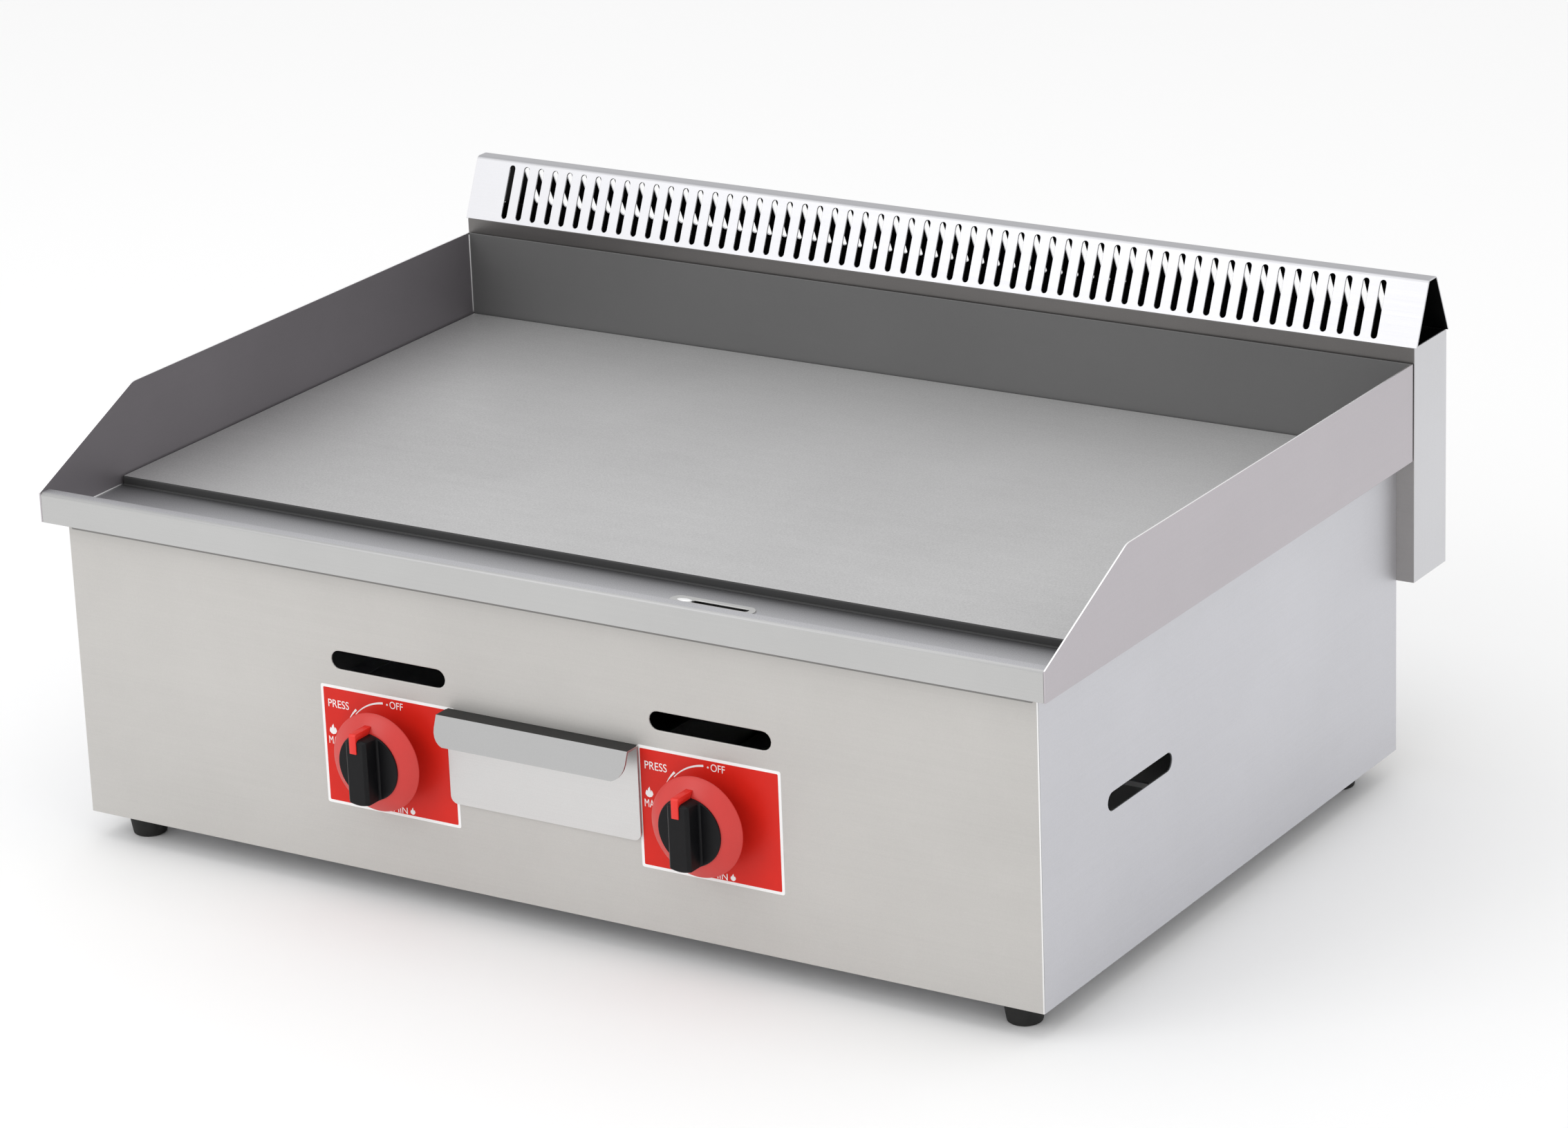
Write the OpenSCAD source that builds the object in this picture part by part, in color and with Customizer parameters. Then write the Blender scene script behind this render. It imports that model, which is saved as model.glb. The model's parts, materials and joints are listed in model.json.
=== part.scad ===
// Two-burner countertop gas griddle with a flat top plate, splash guards and a rear flue.
// Frame: +X to the right, +Y to the back, +Z up, millimetres.
// Origin: on the table under the middle of the overall bounding box.

/* [Deck] */
// Width over the deck and its side splashes
deck_w = 730; // [600:5:900]
// Depth of the deck from the front rim to the back splash
deck_d = 481.4; // [440:0.2:560]
// Height of the folded front rim above the cabinet
rim_h = 20.5; // [16:0.5:26]
// Front-to-back width of the rim's top
rim_w = 10; // [8:0.5:16]
// Height of the side and back splashes above the cabinet
splash_h = 65.7; // [50:0.1:90]
// Distance from the deck front to where the side splash reaches full height
splash_run = 100; // [80:1:130]
// Thickness of the griddle plate
plate_t = 6; // [4:0.5:10]
// Distance from the deck front to the plate's front edge
trough_d = 81; // [70:1:90]

/* [Cabinet] */
// Width of the cabinet
body_w = 706; // [576:2:876]
// Height of the cabinet above the feet
body_h = 199.5; // [195:0.5:230]
// Distance that the deck front overhangs the front panel
panel_setback = 11.6; // [6:0.1:20]
// Thickness of the folded sheet steel
sheet = 1.2; // [1:0.1:1.5]
// Height of the feet
foot_h = 18; // [14:1:25]

/* [Flue] */
// Depth of the flue box behind the deck
flue_d = 47.6; // [42:0.2:60]
// Height of the flue box
flue_h = 158; // [140:1:180]
// Height of the louvred hood
hood_h = 40.5; // [34:0.5:50]
// Horizontal run of each sloping side of the hood
hood_run = 18.2; // [14:0.1:20]
// Number of louvre slots on each side of the hood
louvres = 57; // [31:2:57]

/* [Controls] */
// Distance from the front panel to the front of a knob
knob_reach = 37.6; // [32:0.1:44]
// Height of the knob axes above the cabinet's bottom
knob_z = 82.2; // [78:0.1:90]
// Position of the left knob
left_knob_x = -109; // [-125:1:-109]
// Position of the right knob
right_knob_x = 126.5; // [126:0.5:140]
// Radius of a knob's skirt
skirt_r = 32.2; // [28:0.1:36]
// Travel of a knob when it is pressed
press_travel = 4; // [3:0.5:4]

/* [Drawer] */
// Width of the drawer front
drawer_w = 140; // [120:1:140]
// Height of the drawer front
drawer_h = 62; // [56:1:64]
// Middle of the drawer front
drawer_x = 7; // [4:1:8]
// Height of the drawer front's lower edge above the cabinet's bottom
drawer_z = 59; // [57:1:60]
// Depth of the grease drawer
drawer_d = 250; // [200:5:280]

/* [Burners] */
// Height of the burner tubes above the cabinet's bottom
burner_z = 147; // [145:1:150]
// Distance of the outer burner tubes from the middle
burner_x = 262; // [230:1:275]
// Outer diameter of a burner tube
burner_dia = 26; // [24:1:28]

/* [Hidden] */
flue_gap = 1;
deck_front = (knob_reach - panel_setback - deck_d - flue_gap - flue_d) / 2;
deck_back = deck_front + deck_d;
panel_y = deck_front + panel_setback;
panel_back = panel_y + sheet;
flue_front = deck_back + flue_gap;
flue_back = flue_front + flue_d;
body_top = foot_h + body_h;
floor_top = body_top + sheet;
rim_top = body_top + rim_h;
splash_top = body_top + splash_h;
plate_top = floor_top + plate_t;
splash_x = deck_w / 2 - sheet;
side_x = body_w / 2 - sheet;
flange = 15;
base_top = foot_h + sheet;

hood_z = splash_top + 10;
hood_top = hood_z + hood_h;
hood_overhang = 1.5;
flue_half = deck_w / 2 + 0.5;
louvre_pitch = 12;
louvre_w = 4.5;
louvre_l = 38;
louvre_start = 2.8;
vent_low = 150;
vent_high = 205;
vent_half = 320;

axis_z = foot_h + knob_z;
light_z = foot_h + 138.8;
light_l = 86;
light_w = 12;
light_shift = 1.8;
side_slot_y = panel_y + 121.6;
side_slot_z = foot_h + 102.8;
drain_x = 106.5;
drain_y = deck_front + 54;
drain_l = 55;
drain_w = 8;

stem_r = 4;
running = 0.05;
bonnet_t = 3;
valve_r = 14;
valve_len = 34;
chamber_r = 10.05;
chamber_end = 19;
washer_t = 2;
washer_front = 4.2;
collar_t = 1;

burner_zc = foot_h + burner_z;
burner_front_y = deck_front + 92;
burner_back_y = deck_front + 437;
crossover_y = deck_front + 412;
rail_top = burner_zc - burner_dia / 2;
front_rail_y = deck_front + 112;
rear_rail_y = deck_front + 342;
head_front = panel_back + 59;
head_r = 18;
shutter_turn = 15;
manifold_y = panel_back + 17;
manifold_z = foot_h + 38;
manifold_end = 300;
thread_r = 10.48;
shank_r = 10.9;
nut_t = 6;
shield_x = 322;

drawer_low = foot_h + drawer_z;
tray_half = drawer_w / 2 - 6.5;
tray_low = drawer_low + 6;
tray_high = drawer_low + drawer_h - 8;
opening_half = tray_half + 1.5;
panel_screw_heights = [foot_h + 22, foot_h + 97];
panel_screw_x = side_x - 8;
foot_x = 326;
foot_front_y = deck_front + 36;
foot_back_y = deck_back - 30;

steel = [0.80, 0.79, 0.77];
dark_steel = [0.45, 0.45, 0.46];
brass = [0.78, 0.62, 0.30];
zinc = [0.70, 0.70, 0.72];
knob_red = [0.84, 0.25, 0.22];
knob_black = [0.12, 0.12, 0.13];

// Points of an arc about (cx, cy), from angle a0 to a1 in n steps.
function arc(cx, cy, r, a0, a1, n = 6) =
    [for (i = [0:n]) [cx + r * cos(a0 + (a1 - a0) * i / n), cy + r * sin(a0 + (a1 - a0) * i / n)]];

// Outline of a slot with round ends, l long and w wide, centred on (cx, cy).
function slot_points(l, w, cx = 0, cy = 0) =
    concat(arc(cx + (l - w) / 2, cy, w / 2, -90, 90, 8), arc(cx - (l - w) / 2, cy, w / 2, 90, 270, 8));

// Outline of a rectangle with corner radii, from (x0, y0) to (x1, y1).
function plate_points(x0, y0, x1, y1, r, top_r) = concat(
    arc(x0 + r, y0 + r, r, 180, 270), arc(x1 - r, y0 + r, r, 270, 360),
    arc(x1 - top_r, y1 - top_r, top_r, 0, 90), arc(x0 + top_r, y1 - top_r, top_r, 90, 180));

// Extrudes an outline drawn in X and Z backwards from y, t thick.
module wall_y(y, t) {
    translate([0, y + t, 0]) rotate([90, 0, 0]) linear_extrude(t) children();
}

// Extrudes an outline drawn in Y and Z to the right from x, t thick.
module wall_x(x, t) {
    translate([x, 0, 0]) rotate([90, 0, 90]) linear_extrude(t) children();
}

// A box between two opposite corners.
module block(low, high) {
    translate(low) cube(high - low);
}

// A cylinder along Y from y0 to y1.
module rod_y(x, z, r, y0, y1, sides = 48) {
    translate([x, y1, z]) rotate([90, 0, 0]) cylinder(h = y1 - y0, r = r, $fn = sides);
}

// A cylinder along X from x0 to x1.
module rod_x(y, z, r, x0, x1, sides = 48) {
    translate([x0, y, z]) rotate([0, 90, 0]) cylinder(h = x1 - x0, r = r, $fn = sides);
}

// A cylinder along Z from z0 to z1.
module rod_z(x, y, r, z0, z1, sides = 48) {
    translate([x, y, z0]) cylinder(h = z1 - z0, r = r, $fn = sides);
}

// ---- Cabinet ----

module front_panel() {
    color(steel) {
        wall_y(panel_y, sheet) difference() {
            translate([-body_w / 2, foot_h]) square([body_w, body_h]);
            polygon(slot_points(light_l, light_w, left_knob_x + light_shift, light_z));
            polygon(slot_points(light_l, light_w, right_knob_x + light_shift, light_z));
            translate([left_knob_x, axis_z]) circle(r = 7, $fn = 48);
            translate([right_knob_x, axis_z]) circle(r = 7, $fn = 48);
            translate([drawer_x - opening_half, tray_low - 1.5])
                square([2 * opening_half, tray_high - tray_low + 3]);
        }
        block([-side_x, panel_back, body_top - sheet], [side_x, panel_back + flange, body_top]);
        block([-side_x, panel_back, base_top], [side_x, panel_back + flange, base_top + sheet]);
    }
}

module side_panel() {
    front = panel_back;
    color(steel) {
        wall_x(side_x, sheet) difference() {
            translate([front, foot_h]) square([flue_front - front, body_h]);
            polygon(slot_points(81, 12, side_slot_y, side_slot_z));
        }
        block([side_x - flange, front + flange + 1, body_top - sheet],
              [side_x, flue_front - flange - 3, body_top]);
        block([side_x - flange, front + flange + 1, base_top],
              [side_x, flue_front - flange - 3, base_top + sheet]);
        rear_flange();
    }
}

// Upright flange that takes the rear panel's screws.
module rear_flange() {
    back = flue_front - sheet;
    difference() {
        block([side_x - flange, back - sheet, foot_h + 12], [side_x, back, body_top - 12]);
        for (z = panel_screw_heights) rod_y(panel_screw_x, z, 2.1, back - 5, back + 1);
    }
}

module right_side_panel() {
    side_panel();
}

module left_side_panel() {
    mirror([1, 0, 0]) side_panel();
}

module rear_panel() {
    color(steel) wall_y(flue_front - sheet, sheet) difference() {
        translate([-side_x, foot_h]) square([2 * side_x, body_h]);
        translate([-vent_half, vent_low]) square([2 * vent_half, vent_high - vent_low]);
        translate([manifold_end, manifold_z]) circle(r = shank_r + 0.2, $fn = 48);
        for (i = [-6:6]) polygon(slot_points(34, 6, i * 44, foot_h + 82));
        for (side = [-1, 1], z = panel_screw_heights)
            translate([side * panel_screw_x, z]) circle(r = 2.1, $fn = 24);
    }
}

module base_pan() {
    color(steel) difference() {
        block([-side_x, panel_back, foot_h], [side_x, flue_front - sheet, base_top]);
        for (x = [-foot_x, foot_x], y = [foot_front_y, foot_back_y])
            rod_z(x, y, 3.2, foot_h - 1, base_top + 1);
        for (i = [-4:4], y = [-60, 20, 100])
            translate([i * 60, y, foot_h - 1]) linear_extrude(4) polygon(slot_points(42, 10));
    }
}

// ---- Deck ----

// Section of the folded front rim and the deck floor, in Y and Z.
function deck_section(y = deck_front, r = 2.2) = concat(
    [[y, body_top + 0.5]],
    arc(y + r, rim_top - r, r, 180, 90),
    arc(y + rim_w - r, rim_top - r, r, 90, 0),
    [[y + rim_w, floor_top + 3]],
    arc(y + rim_w + 3, floor_top + 3, 3, 180, 270),
    [[deck_back, floor_top], [deck_back, body_top],
     [y + rim_w - sheet, body_top], [y + rim_w - sheet, rim_top - sheet],
     [y + sheet, rim_top - sheet], [y + sheet, body_top + 0.5]]);

module deck_tray() {
    color(steel) difference() {
        wall_x(-splash_x, 2 * splash_x) polygon(deck_section());
        block([-vent_half, deck_front + 100, body_top - 1], [vent_half, deck_back - 16, floor_top + 1]);
        translate([drain_x, drain_y, body_top - 1]) linear_extrude(4)
            polygon(slot_points(drain_l, drain_w));
    }
}

// Side view of a splash: low behind the rim, sloping up to full height with a round bend.
splash_bend_r = 15;
function splash_outline(y = deck_front) = let (
    slope = atan2(splash_top - rim_top, splash_run),
    setback = splash_bend_r * tan(slope / 2))
    concat([[y, body_top + 0.5], [y, rim_top]],
        arc(y + splash_run + setback, splash_top - splash_bend_r, splash_bend_r, 90 + slope, 90, 8),
        [[deck_back, splash_top], [deck_back, body_top + 0.5]]);

module splash_sheet(x) {
    color(steel) wall_x(x, sheet) polygon(splash_outline());
}

module right_splash() {
    splash_sheet(splash_x);
}

module left_splash() {
    splash_sheet(-deck_w / 2);
}

module back_splash() {
    color(steel)
        block([-splash_x, deck_back - sheet, floor_top], [splash_x, deck_back, splash_top]);
}

module griddle_plate() {
    y0 = deck_front + trough_d;
    y1 = deck_back - sheet - 0.4;
    edge = 0.8;
    color([0.68, 0.68, 0.68]) wall_x(-splash_x + 1.3, 2 * splash_x - 2.6) polygon([
        [y0, floor_top], [y0, plate_top - edge], [y0 + edge, plate_top],
        [y1 - edge, plate_top], [y1, plate_top - edge], [y1, floor_top]]);
}

// Sloping duct from the drain slot down to the grease drawer.
module grease_chute() {
    shift = drain_x - (drawer_x + 27);
    low = tray_high + 16;
    half = drain_l / 2 + 3;
    y0 = drain_y - drain_w / 2 - 3;
    y1 = drain_y + drain_w / 2 + 3;
    color(dark_steel) difference() {
        wall_y(y0, y1 - y0) polygon([
            [drain_x - half, body_top], [drain_x + half, body_top],
            [drain_x + half - shift, low], [drain_x - half - shift, low]]);
        wall_y(y0 + sheet, y1 - y0 - 2 * sheet) polygon([
            [drain_x - half + 2, body_top + 1], [drain_x + half - 2, body_top + 1],
            [drain_x + half - 2 - shift, low - 1], [drain_x - half + 2 - shift, low - 1]]);
    }
}

// ---- Flue ----

module flue_box() {
    low = hood_z - flue_h;
    color(steel) difference() {
        block([-flue_half, flue_front, low], [flue_half, flue_back, hood_z]);
        block([-flue_half + sheet, flue_front + sheet, low + sheet],
              [flue_half - sheet, flue_back - sheet, hood_z + 1]);
        block([-vent_half, flue_front - 1, vent_low], [vent_half, flue_front + sheet + 1, vent_high]);
    }
}

slant_len = norm([hood_run, hood_h]);
slant_angle = atan2(hood_h, hood_run);
hood_side_t = sheet * slant_len / hood_h;

// Section of the hood: two sloping sides joined by a narrow top, in Y and Z.
function hood_section(r = 3) = let (
    y0 = flue_front, y1 = flue_back,
    bend = slant_angle,
    set = r * tan(bend / 2),
    top0 = y0 + hood_run, top1 = y1 - hood_run,
    inner0 = top0 + hood_side_t - sheet * hood_run / hood_h,
    inner1 = top1 - hood_side_t + sheet * hood_run / hood_h)
    concat([[y0, hood_z]],
        arc(top0 + set, hood_top - r, r, 90 + bend, 90, 5),
        arc(top1 - set, hood_top - r, r, 90, 90 - bend, 5),
        [[y1, hood_z], [y1 - hood_side_t, hood_z],
         [inner1, hood_top - sheet], [inner0, hood_top - sheet], [y0 + hood_side_t, hood_z]]);

// One row of louvre slots, standing square to the hood's front slope.
module louvre_row() {
    translate([0, flue_front, hood_z]) rotate([slant_angle, 0, 0]) translate([0, 0, -4])
        linear_extrude(8) for (i = [0:louvres - 1])
            translate([(i - (louvres - 1) / 2) * louvre_pitch, louvre_start + louvre_l / 2])
                rotate(90) polygon(slot_points(louvre_l, louvre_w));
}

module flue_hood() {
    middle = flue_front + flue_back;
    color(steel) difference() {
        wall_x(-flue_half - hood_overhang, 2 * (flue_half + hood_overhang)) polygon(hood_section());
        louvre_row();
        translate([0, middle, 0]) mirror([0, 1, 0]) louvre_row();
    }
}

// ---- Heat shields and burners ----

module side_shield() {
    y0 = deck_front + 100;
    y1 = deck_back - 16;
    color(dark_steel) {
        block([shield_x, y0, rail_top], [shield_x + sheet, y1, body_top - sheet]);
        block([shield_x, y0, body_top - sheet], [side_x - flange - 1, y1, body_top]);
    }
}

module right_heat_shield() {
    side_shield();
}

module left_heat_shield() {
    mirror([1, 0, 0]) side_shield();
}

module front_heat_shield() {
    y = deck_front + 74;
    low = tray_high + 4;
    color(dark_steel) {
        wall_y(y, sheet) difference() {
            translate([-vent_half, low]) square([2 * vent_half, body_top - low]);
            for (x = [left_knob_x, right_knob_x])
                polygon(slot_points(light_l, 20, x + light_shift, light_z));
        }
        block([-vent_half, y, body_top - sheet], [vent_half, y + flange, body_top]);
    }
}

// Hairpin tube burner. The mixing tube runs back under the inner arm, rises at the rear
// and feeds both arms through a crossover. in_x is the inner arm, out_x the outer one.
module burner(in_x, out_x) {
    tube_r = burner_dia / 2;
    wall = 1.2;
    mix_r = 12;
    rise_r = 13.8;
    cross_r = 15.2;
    x0 = min(in_x, out_x);
    x1 = max(in_x, out_x);
    color(dark_steel) difference() {
        union() {
            for (x = [in_x, out_x]) {
                rod_y(x, burner_zc, tube_r, burner_front_y, burner_back_y);
                for (y = [front_rail_y + 5, rear_rail_y + 5])
                    block([x - 8, y, rail_top], [x + 8, y + 12, rail_top + 5]);
            }
            rod_x(crossover_y, burner_zc, cross_r, x0, x1);
            rod_z(in_x, crossover_y, rise_r, axis_z - mix_r - 1, burner_zc);
            rod_y(in_x, axis_z, mix_r, head_front + 30, crossover_y);
            mixer_head(in_x, head_r, mix_r, 0);
        }
        for (x = [in_x, out_x])
            rod_y(x, burner_zc, tube_r - wall, burner_front_y + wall, burner_back_y - wall);
        rod_x(crossover_y, burner_zc, cross_r - wall, x0 + 3, x1 - 3);
        rod_z(in_x, crossover_y, rise_r - wall, axis_z - mix_r + wall, burner_zc + 1);
        rod_y(in_x, axis_z, mix_r - wall, head_front + 29, crossover_y + 1);
        mixer_head(in_x, head_r - wall, mix_r - wall, wall);
        rod_y(in_x, axis_z, 5.4, head_front - 1, head_front + 3);
        air_windows(in_x, head_r);
        for (x = [in_x, out_x], i = [0:13])
            block([x - 8, burner_front_y + 14 + i * 22, burner_zc + 7],
                  [x + 8, burner_front_y + 17 + i * 22, burner_zc + 20]);
    }
}

// Cup and cone at the front of the mixing tube, with its front wall inset by front.
module mixer_head(x, r, neck_r, front) {
    rod_y(x, axis_z, r, head_front + front, head_front + 22);
    translate([x, head_front + 22, axis_z]) rotate([-90, 0, 0])
        cylinder(h = 10, r1 = r, r2 = neck_r, $fn = 48);
}

// Openings that let air into a mixer head of radius r.
module air_windows(x, r) {
    block([x - r - 4, head_front + 5, axis_z - 5], [x + r + 4, head_front + 15, axis_z + 5]);
    block([x - 5, head_front + 5, axis_z - r - 4], [x + 5, head_front + 15, axis_z + r + 4]);
}

module left_burner() {
    burner(left_knob_x, -burner_x);
}

module right_burner() {
    burner(right_knob_x, burner_x);
}

module burner_rail(y) {
    color(dark_steel) {
        block([-side_x, y, rail_top - 2], [side_x, y + 25, rail_top]);
        block([-side_x, y, rail_top - 14], [side_x, y + 2, rail_top - 2]);
        for (x = [-side_x, side_x - 2])
            block([x, y + 2, rail_top - 22], [x + 2, y + 25, rail_top - 2]);
    }
}

module front_burner_rail() {
    burner_rail(front_rail_y);
}

module rear_burner_rail() {
    burner_rail(rear_rail_y);
}

// Sleeve that turns on the mixer head to open or close its air windows.
module air_shutter(x) {
    y0 = head_front + 2;
    y1 = head_front + 18;
    inner_r = head_r + running;
    color(zinc) difference() {
        union() {
            rod_y(x, axis_z, inner_r + 1.2, y0, y1);
            block([x - 1, y1 - 2.5, axis_z + head_r], [x + 1, y1, axis_z + head_r + 5]);
        }
        rod_y(x, axis_z, inner_r, y0 - 1, y1 + 1);
        for (turn = [0, 90])
            translate([x, 0, axis_z]) rotate([0, turn + shutter_turn, 0])
                block([-head_r - 4, head_front + 5, -5], [head_r + 4, head_front + 15, 5]);
    }
}

module left_air_shutter() {
    air_shutter(left_knob_x);
}

module right_air_shutter() {
    air_shutter(right_knob_x);
}

// Brass injector between the valve's outlet and the mixer head.
module injector(x) {
    y0 = panel_back + bonnet_t + valve_len;
    color(brass) difference() {
        union() {
            rod_y(x, axis_z, 8, y0, y0 + 12, 6);
            rod_y(x, axis_z, 5, y0 + 12, head_front + 6);
        }
        rod_y(x, axis_z, 2.5, y0 - 1, head_front + 3);
        rod_y(x, axis_z, 0.6, head_front + 2, head_front + 7);
    }
}

module left_injector() {
    injector(left_knob_x);
}

module right_injector() {
    injector(right_knob_x);
}

// Flame sensor beside the inner arm: probe, its bracket on the front rail, and the lead
// that returns to the magnet unit on the valve.
module thermocouple(x) {
    tip_z = burner_zc + 7;
    lead_x = x + 24;
    lead_y = head_front + 15;
    color([0.72, 0.52, 0.36]) {
        block([lead_x - 8, front_rail_y - 2, rail_top - 13], [lead_x + 8, front_rail_y, tip_z + 7]);
        rod_y(lead_x, tip_z, 2.6, front_rail_y - 12, front_rail_y + 18, 32);
        rod_y(lead_x, tip_z, 1.2, lead_y - 1, front_rail_y - 11, 16);
        rod_z(lead_x, lead_y, 1.4, axis_z - 1, tip_z + 1, 16);
        rod_y(lead_x, axis_z, 1.2, magnet_back, lead_y + 1, 16);
    }
}

module left_thermocouple() {
    thermocouple(left_knob_x);
}

module right_thermocouple() {
    thermocouple(right_knob_x);
}

// ---- Gas train ----

magnet_front = panel_back + bonnet_t + 6;
magnet_back = magnet_front + 32;

module manifold_pipe() {
    boss_top = axis_z - valve_r - 12;
    x0 = left_knob_x - 20;
    color(zinc) difference() {
        union() {
            rod_x(manifold_y, manifold_z, 9, x0, manifold_end - 15);
            for (x = [left_knob_x, right_knob_x])
                rod_z(x, manifold_y, 10, manifold_z, boss_top);
        }
        rod_x(manifold_y, manifold_z, 6.5, x0 + 3, manifold_end - 14);
        for (x = [left_knob_x, right_knob_x])
            rod_z(x, manifold_y, 3, manifold_z, boss_top + 1, 32);
    }
}

module supply_elbow() {
    color(brass) difference() {
        union() {
            rod_x(manifold_y, manifold_z, 12, manifold_end - 15, manifold_end);
            rod_y(manifold_end, manifold_z, 11.5, manifold_y, manifold_y + 15);
            translate([manifold_end, manifold_y, manifold_z]) sphere(r = 12.6, $fn = 48);
        }
        rod_x(manifold_y, manifold_z, 6.5, manifold_end - 16, manifold_end);
        rod_y(manifold_end, manifold_z, 6, manifold_y, manifold_y + 16);
    }
}

module supply_pipe() {
    y0 = manifold_y + 15;
    y1 = flue_front - 14;
    color(zinc) difference() {
        rod_y(manifold_end, manifold_z, 9, y0, y1);
        rod_y(manifold_end, manifold_z, 6.5, y0 - 1, y1 + 1);
    }
}

// Threaded inlet that passes through the rear panel, with a hexagon inside the cabinet.
module inlet_nipple() {
    y0 = flue_front - 14;
    color(brass) difference() {
        union() {
            rod_y(manifold_end, manifold_z, 14, y0, flue_front - sheet, 6);
            rod_y(manifold_end, manifold_z, shank_r, flue_front - sheet, flue_front + nut_t);
            rod_y(manifold_end, manifold_z, thread_r, flue_front + nut_t, flue_back - 12);
        }
        rod_y(manifold_end, manifold_z, 6.5, y0 - 1, flue_back);
    }
}

module inlet_locknut() {
    color(brass) difference() {
        rod_y(manifold_end, manifold_z, 15, flue_front, flue_front + nut_t, 6);
        rod_y(manifold_end, manifold_z, shank_r, flue_front - 1, flue_front + nut_t + 1);
    }
}

// Gas cock: spring chamber in front, metering bore behind it, inlet from below and the
// flame-failure magnet unit beside it.
module valve_body(x) {
    y0 = panel_back + bonnet_t;
    y1 = y0 + valve_len;
    stub_low = axis_z - valve_r - 12;
    color(brass) difference() {
        union() {
            rod_y(x, axis_z, valve_r, y0, y1);
            rod_z(x, manifold_y, 7, stub_low, axis_z);
            rod_y(x + 24, axis_z, 6.5, magnet_front, magnet_back);
            block([x, magnet_front + 4, axis_z - 4], [x + 24, magnet_front + 18, axis_z + 4]);
        }
        rod_y(x, axis_z, chamber_r, y0 - 1, panel_back + chamber_end);
        rod_y(x, axis_z, stem_r + running, panel_back + chamber_end - 1, panel_back + 31);
        rod_y(x, axis_z, 2.5, panel_back + 30, y1 + 1, 32);
        rod_z(x, manifold_y, 3, stub_low - 1, axis_z - valve_r, 32);
    }
}

module left_valve_body() {
    valve_body(left_knob_x);
}

module right_valve_body() {
    valve_body(right_knob_x);
}

// Cover plate that closes the spring chamber and guides the stem.
module valve_bonnet(x) {
    color(zinc) difference() {
        wall_y(panel_back, bonnet_t)
            polygon(plate_points(x - 22, axis_z - 15, x + 22, axis_z + 15, 5, 5));
        rod_y(x, axis_z, stem_r + running, panel_back - 1, panel_back + bonnet_t + 1);
    }
}

module left_valve_bonnet() {
    valve_bonnet(left_knob_x);
}

module right_valve_bonnet() {
    valve_bonnet(right_knob_x);
}

// ---- Knobs ----

spring_turns = 4.5;
spring_r = 7.6;
wire_r = 0.6;
wire_sides = 8;
spring_front = washer_front + washer_t;
spring_steps = 72;

// Point j of ring i of the spring's wire, along Y.
function spring_point(i, j) = let (
    turn = 360 * spring_turns * i / spring_steps,
    along = spring_front + wire_r + (chamber_end - spring_front - 2 * wire_r) * i / spring_steps,
    around = 360 * j / wire_sides,
    r = spring_r + wire_r * cos(around))
    [r * cos(turn), along + wire_r * sin(around), r * sin(turn)];

// Compression spring that pushes the thrust washer and the stem back out.
module valve_spring(x) {
    points = [for (i = [0:spring_steps], j = [0:wire_sides - 1]) spring_point(i, j)];
    last = spring_steps * wire_sides;
    sides = [for (i = [0:spring_steps - 1], j = [0:wire_sides - 1]) [
        i * wire_sides + j, i * wire_sides + (j + 1) % wire_sides,
        (i + 1) * wire_sides + (j + 1) % wire_sides, (i + 1) * wire_sides + j]];
    first_cap = [for (j = [wire_sides - 1:-1:0]) j];
    last_cap = [for (j = [0:wire_sides - 1]) last + j];
    color(zinc) translate([x, panel_back, axis_z])
        polyhedron(points, concat(sides, [first_cap, last_cap]), convexity = 6);
}

module left_valve_spring() {
    valve_spring(left_knob_x);
}

module right_valve_spring() {
    valve_spring(right_knob_x);
}

module thrust_washer(x) {
    y0 = panel_back + washer_front;
    color(zinc) difference() {
        rod_y(x, axis_z, chamber_r - running, y0, y0 + washer_t);
        rod_y(x, axis_z, stem_r + running, y0 - 1, y0 + washer_t + 1);
    }
}

module left_thrust_washer() {
    thrust_washer(left_knob_x);
}

module right_thrust_washer() {
    thrust_washer(right_knob_x);
}

disc_y = panel_y - 23;
disc_r = 22;
edge_y = panel_y - 15;
skirt_depth = edge_y - disc_y - 0.6;

// Stem with the collar that bears on the thrust washer, and a flat for the knob.
module knob_stem(x) {
    collar_y = panel_back + washer_front - collar_t;
    color(zinc) difference() {
        union() {
            rod_y(x, axis_z, stem_r, disc_y - 6, panel_back + 25);
            rod_y(x, axis_z, 6, collar_y, collar_y + collar_t);
        }
        block([x - 5, disc_y - 7, axis_z + 2.6], [x + 5, panel_y - 4, axis_z + 5]);
    }
}

module left_knob_stem() {
    knob_stem(left_knob_x);
}

module right_knob_stem() {
    knob_stem(right_knob_x);
}

// Shape cut from the knob for the flatted stem.
module stem_socket(x, y0, y1) {
    difference() {
        rod_y(x, axis_z, stem_r, y0, y1);
        block([x - 5, y0 - 1, axis_z + 2.6], [x + 5, y1 + 1, axis_z + 5]);
    }
}

// Red cone with a thin edge and a hub, turned about the stem.
module knob_skirt(x) {
    edge_t = 1.2;
    hub_r = 8;
    depth = skirt_depth;
    color(knob_red) difference() {
        translate([x, disc_y, axis_z]) rotate([-90, 0, 0]) rotate_extrude($fn = 96) polygon([
            [0, 0], [disc_r, 0], [skirt_r, depth], [skirt_r, depth + edge_t],
            [skirt_r - 1.8, depth + edge_t], [disc_r - 1, 2.4],
            [hub_r, 2.4], [hub_r, 17], [0, 17]]);
        stem_socket(x, disc_y - 1, disc_y + 18);
    }
}

module left_knob_skirt() {
    knob_skirt(left_knob_x);
}

module right_knob_skirt() {
    knob_skirt(right_knob_x);
}

grip_half = 7.75;
grip_bevel = 1.9;
grip_r = disc_r;
mark_half = 2.5;
mark_shift = 0.8;
mark_low = 13;
mark_high = 26;
mark_t = 2;
mark_proud = 0.8;
mark_front = panel_y - knob_reach;
grip_front = mark_front + mark_proud;

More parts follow.
